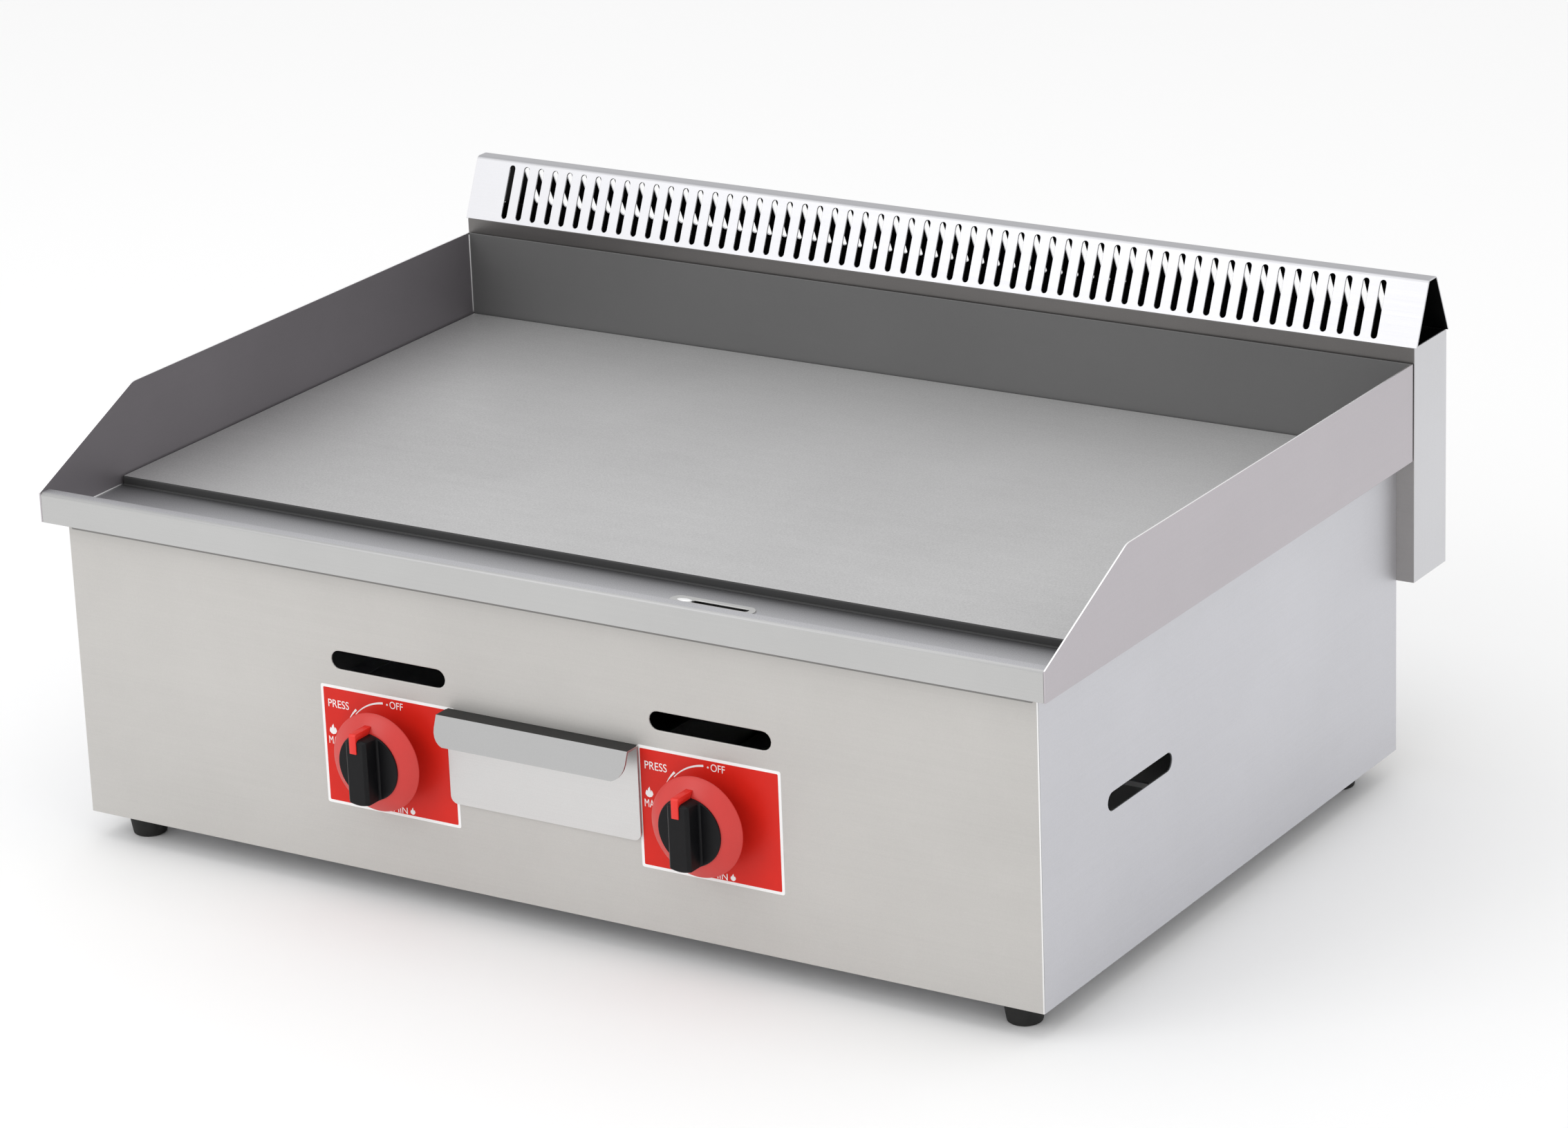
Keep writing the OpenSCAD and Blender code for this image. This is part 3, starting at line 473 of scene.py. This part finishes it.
def cabinet():
    """Front, side, rear and base panels with eased edges."""
    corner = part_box("front_panel")[1].x - 10 * MM

    # Bevel faces at the front panel's outer corners take the painted highlight.
    def painted_highlight(face):
        return (face.normal.y < -0.2 and 0.2 < abs(face.normal.x) < 0.98
                and abs(face.calc_center_median().x) > corner)

    folded_sheet("front_panel", "front_panel_sheet", "root", "cabinet_steel", CABINET_STEEL,
                 EDGE_HIGHLIGHT, width=0.9 * MM, pick=painted_highlight)
    for side in ("left", "right"):
        folded_sheet(f"{side}_side_panel", f"{side}_side_sheet", "root", "cabinet_steel",
                     SIDE_STEEL)
    folded_sheet("rear_panel", "rear_panel_sheet", "root", "rear_steel", REAR_STEEL)
    folded_sheet("base_pan", "base_pan_sheet", "root", "rear_steel", REAR_STEEL)


def deck():
    """Rim, trough, splashes and plate."""
    def tray_part(face):
        """Upright and lower faces, then level ones with painted shade near the plate, then the
        bends between them in painted shade.
        """
        if face.normal.z < 0.15:
            return 0
        return 2 if face.normal.z < 0.97 else 1

    def splash_part(face, out):
        """Outer face, then inner face in painted shade, then top edge with a painted highlight.
        """
        if face.normal.x * out < -0.8:
            return 1
        return 2 if face.normal.x * out < 0.8 and face.normal.z > 0.2 else 0

    folded_sheet("deck_tray", "deck_tray_sheet", "root", "deck_steel", DECK_STEEL, TROUGH_STEEL,
                 RIM_BEND_SHADED, width=0.3 * MM, pick=tray_part)
    for side, out in (("left", -1), ("right", 1)):
        folded_sheet(f"{side}_splash", f"{side}_splash_sheet", "root", "deck_steel",
                     SPLASH_OUTER, SPLASH_INNER_SHADED, EDGE_HIGHLIGHT, width=0.35 * MM,
                     pick=lambda face, out=out: splash_part(face, out))
    # The back splash's front face and top take the painted shade.
    folded_sheet("back_splash", "back_splash_sheet", "root", "deck_steel", SPLASH_OUTER,
                 BACK_INNER_SHADED, pick=lambda face: face.normal.y < -0.7 or face.normal.z > 0.5)
    folded_sheet("griddle_plate", "griddle_plate_ground", "root", "plate_steel", GROUND,
                 DARK_EDGE_AND_SHADOW, width=0.2 * MM, pick=lambda face: face.normal.z < 0.9)
    drain_rim()
    welds()
    panel_rim_shadow()


def drain_rim():
    """Thin raised rim around the drain slot, flat at its left end, with a painted highlight
    there.
    """
    y, end = middle("grease_chute").y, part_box("grease_chute")[1].x - 7 * MM
    start = end - 47 * MM
    steps = 16

    def round_end(x, radius, turn):
        arc = ring(radius, (x, y), 2 * steps, turn)
        return arc[:steps + 1]

    def slot(radius, left_end):
        return round_end(end, radius, -pi / 2) + round_end(left_end, radius, pi / 2)

    bm = plate([slot(6.4 * MM, start), slot(2.1 * MM, start + 11 * MM)], 1.3 * MM,
               Matrix.Translation((0, 0, PLATE_LOW.z - 0.4 * MM)))
    ease(bm, 0.6 * MM, 3)
    finish_piece("drain_slot_rim", bm, "root", "deck_steel", DECK_STEEL)
    # Bright flat cap at the slot's left end: a painted highlight.
    painted_highlight = bmesh.new()
    bmesh.ops.create_uvsphere(painted_highlight, u_segments=32, v_segments=16, radius=1.0)
    bmesh.ops.transform(painted_highlight, verts=painted_highlight.verts[:], matrix=Matrix.Translation(
        (start + 3.6 * MM, y, PLATE_LOW.z + 0.7 * MM)) @ Matrix.Diagonal(
        (5.2 * MM, 2.8 * MM, 0.8 * MM, 1)))
    finish_piece("drain_slot_polish", painted_highlight, "root", "deck_steel", EDGE_HIGHLIGHT)


def panel_rim_shadow():
    """Grey strip between the rim's underside and the front panel: a painted shadow under the
    rim.
    """
    low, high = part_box("front_panel")
    inset, drop = 3 * MM, 5.45 * MM
    corners = ((low.x + inset, DECK_LOW.z - drop), (high.x - inset, high.z - 0.2 * MM))
    bm = plate([rounded_box(*corners, MM)], 0.5 * MM,
               Matrix.Translation((0, low.y, 0)) @ ON_FRONT)
    ease(bm, 0.2 * MM)
    finish_piece("rim_sealant", bm, "root", "cabinet_steel", RIM_SHADOW)


def welds():
    """Weld beads in the corners of the well, and a weld seam along the foot of the plate in
    near-black, a painted contact shadow.
    """
    wall_low, wall_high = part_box("back_splash")
    floor, rim_back = PLATE_LOW.z, DECK_LOW.y + 12 * MM
    beads = []
    for x in (wall_low.x, wall_high.x):
        beads.append(bead(Vector((x, wall_low.y, PLATE_HIGH.z)),
                          Vector((x, wall_low.y, wall_high.z - MM)), WELD_RADIUS))
        beads.append(bead(Vector((x, rim_back, floor)), Vector((x, PLATE_LOW.y, floor)),
                          WELD_RADIUS))
    finish_piece("well_weld_beads", joined(*beads), "root", "deck_steel", WELD_STEEL)
    # Near-black seam at the plate's foot: painted contact shadow.
    seam = bead(Vector((PLATE_LOW.x, PLATE_LOW.y, floor)),
                Vector((PLATE_HIGH.x, PLATE_LOW.y, floor)), SEAM_RADIUS)
    finish_piece("plate_weld_seam", seam, "root", "plate_steel", DARK_EDGE_AND_SHADOW)


def flue():
    """Flue box and louvred hood, near-black inside as painted shade."""
    low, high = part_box("flue_box")
    wall = 0.9 * MM

    def flue_part(face):
        """Outer faces, then the inside in near-black painted shade, then the front in painted
        shade.
        """
        at = face.calc_center_median()
        inside = (low.x + wall < at.x < high.x - wall and low.y + wall < at.y < high.y - wall
                  and at.z > low.z + wall and face.normal.z < 0.9)
        return 1 if inside else 2 if face.normal.y < -0.9 else 0

    def hood_part(face):
        """Slopes, then undersides in near-black painted shade, then the level top in painted
        shade.
        """
        if face.normal.z < -0.1:
            return 1
        return 2 if face.normal.z > 0.75 else 0

    folded_sheet("flue_box", "flue_box_sheet", "root", "flue_steel", FLUE_STEEL, INSIDE_SHADE,
                 FLUE_FRONT_SHADED, pick=flue_part)
    folded_sheet("flue_hood", "flue_hood_sheet", "root", "flue_steel", HOOD_STEEL, INSIDE_SHADE,
                 HOOD_TOP_SHADED, width=0.2 * MM, segments=1, pick=hood_part)


# ---------------------------------------------------------------- knobs and dials


DISC_RADIUS = 22 * MM
HUB_RADIUS, HUB_LENGTH = 8 * MM, 17 * MM
LABEL_FILM, LABEL_PRINT, LABEL_INK = 0.2 * MM, 0.05 * MM, 0.03 * MM


def knob(side):
    """Red skirt, black grip and red pointer of one knob."""
    low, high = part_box(f"{side}_knob_skirt")
    axis, disc = middle(f"{side}_knob_skirt"), low.y
    skirt(side, Vector((axis.x, disc, axis.z)), (high.x - low.x) / 2)
    grip(side, axis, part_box(f"{side}_knob_grip")[0].y, disc)
    pointer(side, axis, disc)


def skirt(side, centre, radius):
    """Hollow cone with a rounded edge, a flat front and a hub behind."""
    flat, depth = DISC_RADIUS, 7.4 * MM
    cone = [(flat + (radius - flat - 0.5 * MM) * i / 8,
             (depth - 0.4 * MM) * i / 8 - 0.35 * MM * sin(pi * i / 8)) for i in range(9)]
    profile = [(0, 0), (flat - 0.8 * MM, 0)] + cone
    profile += [(radius, depth + 0.2 * MM), (radius, depth + 0.8 * MM),
                (radius - 0.4 * MM, depth + 1.2 * MM), (radius - 1.8 * MM, depth + 1.2 * MM),
                (flat - MM, 2.4 * MM), (HUB_RADIUS + 0.6 * MM, 2.4 * MM),
                (HUB_RADIUS, 3 * MM), (HUB_RADIUS, HUB_LENGTH - 0.5 * MM),
                (HUB_RADIUS - 0.5 * MM, HUB_LENGTH), (0, HUB_LENGTH)]
    place = Matrix.Translation(centre) @ ON_BACK
    finish_piece(f"{side}_skirt_moulding", turned(profile, place, 128),
                 f"{side}_knob", "knob_red", SKIRT_RED, replaces=(f"{side}_knob_skirt",))


def bar_ring(axis, y, half, radius, steps=10):
    """Outline of the grip bar at one depth: straight sides, ends that follow the disc."""
    start = acos(half / radius)
    points = []
    for turn in (0, pi):
        for i in range(steps + 1):
            angle = turn + start + (pi - 2 * start) * i / steps
            points.append((axis.x + radius * cos(angle), y, axis.z + radius * sin(angle)))
    return points


def grip(side, axis, front, disc):
    """Bar with bevelled front edges that flares into a round disc."""
    rim = DISC_RADIUS
    radius = rim - 0.1 * MM
    bar = lofted([
        bar_ring(axis, disc - 1.2 * MM, 9.6 * MM, radius),
        bar_ring(axis, disc - 1.7 * MM, 8.7 * MM, radius),
        bar_ring(axis, disc - 2.8 * MM, 8.1 * MM, radius),
        bar_ring(axis, front + 1.9 * MM, 7.75 * MM, radius),
        bar_ring(axis, front, 5.9 * MM, radius - 1.2 * MM)])
    ease(bar, 0.35 * MM, 3, angle=20.0)
    disc_profile = [(0, 0.02 * MM), (rim - 0.3 * MM, 0.02 * MM), (rim, -0.3 * MM),
                    (rim, -1.1 * MM), (rim - 0.4 * MM, -1.5 * MM), (0, -1.5 * MM)]
    place = Matrix.Translation((axis.x, disc, axis.z)) @ ON_BACK
    finish_piece(f"{side}_grip_moulding", joined(bar, turned(disc_profile, place)),
                 f"{side}_knob", "knob_black", GRIP_BLACK, replaces=(f"{side}_knob_grip",))


def pointer(side, axis, disc):
    """Red rib down the front of the grip and over its top end to the skirt."""
    rib_low, rib_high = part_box(f"{side}_knob_indicator")
    front = rib_low.y
    low, high, inner = 13 * MM, 26 * MM, 20.2 * MM
    outline = [(front, low), (front + 2 * MM, low), (front + 2 * MM, inner),
               (disc - 0.5 * MM, inner), (disc - 0.5 * MM, DISC_RADIUS),
               (disc + 2.6 * MM, high), (front + MM, high), (front, high - MM)]
    bm = plate([outline], rib_high.x - rib_low.x,
               Matrix.Translation((rib_low.x, 0, axis.z)) @ ON_SIDE)
    ease(bm, 0.3 * MM)
    finish_piece(f"{side}_pointer_rib", bm, f"{side}_knob", "indicator_red", POINTER_RED,
                 replaces=(f"{side}_knob_indicator",))


def word(letters, left, right, low, high):
    """A printed word that fills a box on the label."""
    curve = bpy.data.curves.new(letters, "FONT")
    curve.body = letters
    shape = bpy.data.objects.new(letters, curve)
    bpy.context.scene.collection.objects.link(shape)
    mesh = bpy.data.meshes.new_from_object(shape.evaluated_get(
        bpy.context.evaluated_depsgraph_get()))
    bm = bmesh.new()
    bm.from_mesh(mesh)
    for made, store in ((shape, bpy.data.objects), (curve, bpy.data.curves),
                        (mesh, bpy.data.meshes)):
        store.remove(made)
    bmesh.ops.remove_doubles(bm, verts=bm.verts[:], dist=1e-5)
    across = [vert.co.x for vert in bm.verts]
    upward = [vert.co.y for vert in bm.verts]
    wide, tall = max(across) - min(across), max(upward) - min(upward)
    bmesh.ops.translate(bm, vec=(-min(across), -min(upward), 0), verts=bm.verts[:])
    bmesh.ops.scale(bm, vec=((right - left) / wide, (high - low) / tall, 0), verts=bm.verts[:])
    bmesh.ops.translate(bm, vec=(left, low, 0), verts=bm.verts[:])
    return bm


def arc_band(centre, radius, start, end, width, tip):
    """Outline of a curved bar whose width goes from width to tip."""
    steps = 16
    outer, inner = [], []
    for i in range(steps + 1):
        angle = radians(start + (end - start) * i / steps)
        half = (width + (tip - width) * i / steps) / 2
        outer.append((centre[0] + (radius + half) * cos(angle),
                      centre[1] + (radius + half) * sin(angle)))
        inner.append((centre[0] + (radius - half) * cos(angle),
                      centre[1] + (radius - half) * sin(angle)))
    return outer + inner[::-1]


FLAME = ((0.50, 0.00), (0.82, 0.10), (1.00, 0.34), (0.92, 0.56), (0.78, 0.70), (0.74, 0.52),
         (0.62, 0.74), (0.56, 1.00), (0.36, 0.78), (0.28, 0.56), (0.16, 0.66), (0.04, 0.44),
         (0.02, 0.26), (0.20, 0.08))


def flame(left, low, wide, tall):
    """Outline of a flame sign."""
    return [(left + wide * u, low + tall * v) for u, v in FLAME]


def label(side):
    """Dial sticker: white film, red field and white legends."""
    low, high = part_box(f"{side}_label")
    axis = middle(f"{side}_knob_skirt")
    front = (low.x, low.z), (high.x, high.z)
    at = Matrix.Translation((0, high.y, 0)) @ ON_FRONT
    stem_hole = ring(7 * MM, (axis.x, axis.z))
    film = plate([rounded_box(*front, 1.5 * MM), stem_hole], LABEL_FILM, at)
    finish_piece(f"{side}_label_film", film, "root", "label_red", FILM_WHITE,
                 replaces=(f"{side}_label",))
    border = 1.9 * MM
    inner = ((low.x + border, low.z + border), (high.x - border, high.z - border))
    at = Matrix.Translation((0, high.y - LABEL_FILM, 0)) @ ON_FRONT
    field = plate([rounded_box(*inner, 0.8 * MM), stem_hole], LABEL_PRINT, at)
    finish_piece(f"{side}_label_field", field, "root", "label_red", FILM_RED)
    legends(side, low, high, axis)


def legends(side, low, high, axis):
    """White words, arrow, dot and flames printed on the red field."""
    at = Matrix.Translation((0, high.y - LABEL_FILM - LABEL_PRINT, 0)) @ ON_FRONT

    def print_word(letters, left, right, centre, tall):
        bm = word(letters, low.x + left * MM, low.x + right * MM, centre - tall / 2 * MM,
                  centre + tall / 2 * MM)
        return thickened(bm, LABEL_INK, at)

    centre = (axis.x, axis.z)
    shapes = [arc_band(centre, 33.5 * MM, 96, 138, 1.4 * MM, 0.5 * MM),
              arc_band(centre, 35.3 * MM, 133.5, 149, 1.5 * MM, 0.2 * MM),
              ring(0.65 * MM, (low.x + 50.5 * MM, high.z - 6.2 * MM), 20),
              flame(low.x + 4.7 * MM, high.z - 33.1 * MM, 5.7 * MM, 7 * MM),
              flame(low.x + 63.3 * MM, low.z + 2.6 * MM, 3.8 * MM, 4.8 * MM)]
    ink = [plate([shape], LABEL_INK, at) for shape in shapes]
    ink += [print_word("PRESS", 5.1, 20.9, high.z - 12.2 * MM, 5.2),
            print_word("OFF", 52.5, 62.5, high.z - 5.9 * MM, 4.8),
            print_word("MAX", 3.9, 14.4, high.z - 37 * MM, 5),
            print_word("MIN", 50.5, 61.2, low.z + 4.4 * MM, 4.2)]
    finish_piece(f"{side}_label_legends", joined(*ink), "root", "label_red", FILM_WHITE)


# ---------------------------------------------------------------- drawer, feet, fastenings


def drawer():
    """Drawer front with its rolled lip, and the tray behind it."""
    lip_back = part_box("drawer_tray")[0].y - 3 * MM

    def front_part(face):
        """Face plate, then the lip in painted shade, then the lip's top in near-black painted
        shade.
        """
        if face.calc_center_median().y >= lip_back:
            return 0
        return 2 if face.normal.z > 0.9 else 1

    folded_sheet("drawer_front", "drawer_front_sheet", "drawer", "drawer_steel", DRAWER_STEEL,
                 LIP_SHADED, LIP_TOP_SHADE, width=0.55 * MM, segments=3, pick=front_part)
    folded_sheet("drawer_tray", "drawer_tray_sheet", "drawer", "drawer_steel", DRAWER_STEEL)


def foot(node):
    """Tapered rubber foot with a rolled tread and a bolt recess."""
    low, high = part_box(node)
    tall = (high.z - low.z) / MM
    profile = ((3.2, tall), (13.4, tall), (14.0, tall - 0.6), (13.7, tall - 2.2),
               (13.2, tall - 2.7), (13.2, tall - 3.5), (11.1, 1.6), (10.8, 0.5), (10.2, 0.0),
               (7.2, 0.0), (6.5, 0.6), (6.5, 8.0), (3.2, 8.0), (3.2, tall))
    centre = middle(node)
    bm = turned(in_metres(profile), Matrix.Translation((centre.x, centre.y, low.z)))
    finish_piece(f"{node}_moulding", bm, "root", "foot_rubber", RUBBER, replaces=(node,))


def feet():
    """Four rubber feet, with the heads of their bolts and the nuts."""
    for end in ("front", "rear"):
        for side in ("left", "right"):
            foot(f"{end}_{side}_foot")
    bolts, nuts = [], []
    low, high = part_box("foot_bolts")
    nut_low, nut_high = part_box("foot_nuts")
    head_radius, tall = 5 * MM, (high.z - low.z) / MM
    profile = ((0, 0.9), (1.6, 0.9), (1.6, 0), (3.8, 0), (4.7, 0.6), (5, 1.6), (5, 4), (3, 4),
               (3, tall - 0.6), (2.5, tall), (0, tall))
    for x in (low.x + head_radius, high.x - head_radius):
        for y in (low.y + head_radius, high.y - head_radius):
            bolts.append(turned(in_metres(profile), Matrix.Translation((x, y, low.z)), 32))
            nuts.append(hexagon_nut(5.8 * MM, 3 * MM, nut_high.z - nut_low.z,
                                    Matrix.Translation((x, y, nut_low.z))))
    finish_piece("foot_bolts_turned", joined(*bolts), "root", "zinc_plate", ZINC,
                 replaces=("foot_bolts",))
    finish_piece("foot_nuts_chamfered", joined(*nuts), "root", "zinc_plate", ZINC,
                 replaces=("foot_nuts",))


def hexagon_nut(corner, bore, thick, place):
    """Hexagon with a bore and eased corners."""
    bm = plate([ring(corner, count=6), ring(bore, count=32)], thick, Matrix.Identity(4))
    ease(bm, 0.35 * MM)
    bmesh.ops.transform(bm, matrix=place, verts=bm.verts[:])
    return bm


def rear_screws():
    """Hexagon flange screws of the rear panel."""
    low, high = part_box("panel_screws")
    parts = []
    flange, shank = 3.8, (high.y - low.y) / MM - 2.4
    profile = ((0, 0), (1.2, 0), (2, 1.2), (2, shank), (flange, shank),
               (flange, shank + 0.5), (3.2, shank + 0.9), (0, shank + 0.9))
    for x in (low.x + flange * MM, high.x - flange * MM):
        for z in (low.z + flange * MM, high.z - flange * MM):
            place = Matrix.Translation((x, low.y, z)) @ ON_BACK
            parts.append(turned(in_metres(profile), place, 32))
            head = plate([ring(3.0 * MM, count=6)], 1.6 * MM, Matrix.Identity(4))
            ease(head, 0.3 * MM)
            lift = Matrix.Translation((x, low.y + (shank + 0.8) * MM, z)) @ ON_BACK
            bmesh.ops.transform(head, matrix=lift, verts=head.verts[:])
            parts.append(head)
    finish_piece("rear_panel_screws", joined(*parts), "root", "zinc_plate", ZINC,
                 replaces=("panel_screws",))


def gas_inlet():
    """Threaded inlet nipple and its locknut."""
    low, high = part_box("inlet_nipple")
    nut_low, nut_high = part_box("inlet_locknut")
    axis = middle("inlet_locknut")
    shoulder = nut_low.y - low.y - 1.2 * MM
    length = high.y - low.y
    neck, crest, root, bore, pitch = 10.9 * MM, 10.48 * MM, 9.45 * MM, 6.5 * MM, 1.81 * MM
    start = nut_high.y - low.y + 0.6 * MM
    thread = [(neck, shoulder), (neck, start - 0.6 * MM), (root, start)]
    turns = int((length - start - 1.2 * MM) / pitch)
    for i in range(turns):
        at = start + i * pitch
        thread += [(crest, at + 0.42 * pitch), (crest, at + 0.55 * pitch), (root, at + pitch)]
    profile = [(bore, 0), (bore + 3 * MM, 0), (bore + 3 * MM, shoulder)] + thread
    profile += [(root - 0.3 * MM, length), (bore + 0.5 * MM, length),
                (bore, length - 0.6 * MM), (bore, 0)]
    place = Matrix.Translation((axis.x, low.y, axis.z)) @ ON_BACK
    pipe = turned(profile, place)
    collar = hexagon_nut(14 * MM, bore + 2.5 * MM, shoulder, place)
    finish_piece("gas_inlet_nipple", joined(pipe, collar), "root", "brass", BRASS,
                 replaces=("inlet_nipple",))
    nut = hexagon_nut(15 * MM, neck, nut_high.y - nut_low.y,
                      Matrix.Translation((axis.x, nut_low.y, axis.z)) @ ON_BACK)
    finish_piece("gas_inlet_locknut", nut, "root", "brass", BRASS,
                 replaces=("inlet_locknut",))


def inner_parts():
    """Finishes of the parts that keep the frame's own shape."""
    finishes = {"inner_steel": SHIELD_STEEL, "burner_steel": HOT_TUBE, "copper": COPPER,
                "brass": BRASS, "zinc_plate": ZINC}
    for part in frame["record"]["subparts"]:
        finish = finishes.get(part["material_slot"])
        if finish:
            mesh = NODES[part["node"]].data
            mesh.materials.clear()
            mesh.materials.append(finish)


# ---------------------------------------------------------------- studio


ROOM_LIGHT = 0.95
# Name, place, target, size and power of each lamp.
LAMPS = (("front_softbox", (-1.3, -2.3, 1.9), (0, 0, 0.15), (1.8, 1.4), 15),
         ("top_softbox", (0.0, -0.3, 2.6), (0, 0, 0.2), (2.4, 1.8), 10))
CAMERA_PLACE = (1.783417, -2.753662, 1.321825)
AZIMUTH, ELEVATION, ROLL = radians(32.449), radians(19.433), radians(-2.221)
SENSOR, FOCAL_LENGTH = 36, 124.42


def area_light(name, place, target, size, power):
    """Soft rectangular lamp that points at a target."""
    lamp = bpy.data.lights.new(name, "AREA")
    lamp.shape, lamp.size, lamp.size_y, lamp.energy = "RECTANGLE", *size, power
    holder = bpy.data.objects.new(name, lamp)
    holder.location = place
    holder.rotation_euler = (Vector(target) - Vector(place)).to_track_quat("-Z", "Y").to_euler()
    bpy.context.scene.collection.objects.link(holder)


def camera():
    """Camera at the front right, above the cook's side."""
    right = Vector((cos(AZIMUTH), sin(AZIMUTH), 0))
    ahead = Vector((-sin(AZIMUTH) * cos(ELEVATION), cos(AZIMUTH) * cos(ELEVATION),
                    -sin(ELEVATION)))
    above = right.cross(ahead)
    across = right * cos(ROLL) + above * sin(ROLL)
    upward = above * cos(ROLL) - right * sin(ROLL)
    lens = bpy.data.cameras.new("studio_camera")
    lens.sensor_fit, lens.sensor_width, lens.lens = "HORIZONTAL", SENSOR, FOCAL_LENGTH
    holder = bpy.data.objects.new("studio_camera", lens)
    turn = Matrix((across, upward, -ahead)).transposed().to_4x4()
    holder.matrix_world = Matrix.Translation(CAMERA_PLACE) @ turn
    bpy.context.scene.collection.objects.link(holder)
    bpy.context.scene.camera = holder


def studio():
    """Pale floor, white surroundings and soft lamps."""
    bm = bmesh.new()
    bmesh.ops.create_grid(bm, x_segments=1, y_segments=1, size=6)
    mesh = bpy.data.meshes.new("studio_floor")
    bm.to_mesh(mesh)
    bm.free()
    mesh.materials.append(Finish("studio_floor_paint").set(Base_Color=(0.93, 0.93, 0.93),
                                                           Roughness=0.8))
    floor = bpy.data.objects.new("studio_floor", mesh)
    floor.location.z = -0.2 * MM
    bpy.context.scene.collection.objects.link(floor)
    world = bpy.data.worlds.new("white_room")
    world.use_nodes = True
    background = world.node_tree.nodes["Background"]
    background.inputs["Color"].default_value = (1, 1, 1, 1)
    background.inputs["Strength"].default_value = ROOM_LIGHT
    bpy.context.scene.world = world
    for name, place, target, size, power in LAMPS:
        area_light(name, place, target, size, power)
    bpy.context.scene.view_settings.view_transform = "Standard"


camera()
cabinet()
deck()
flue()
for side in ("left", "right"):
    knob(side)
    label(side)
drawer()
feet()
rear_screws()
gas_inlet()
inner_parts()
studio()
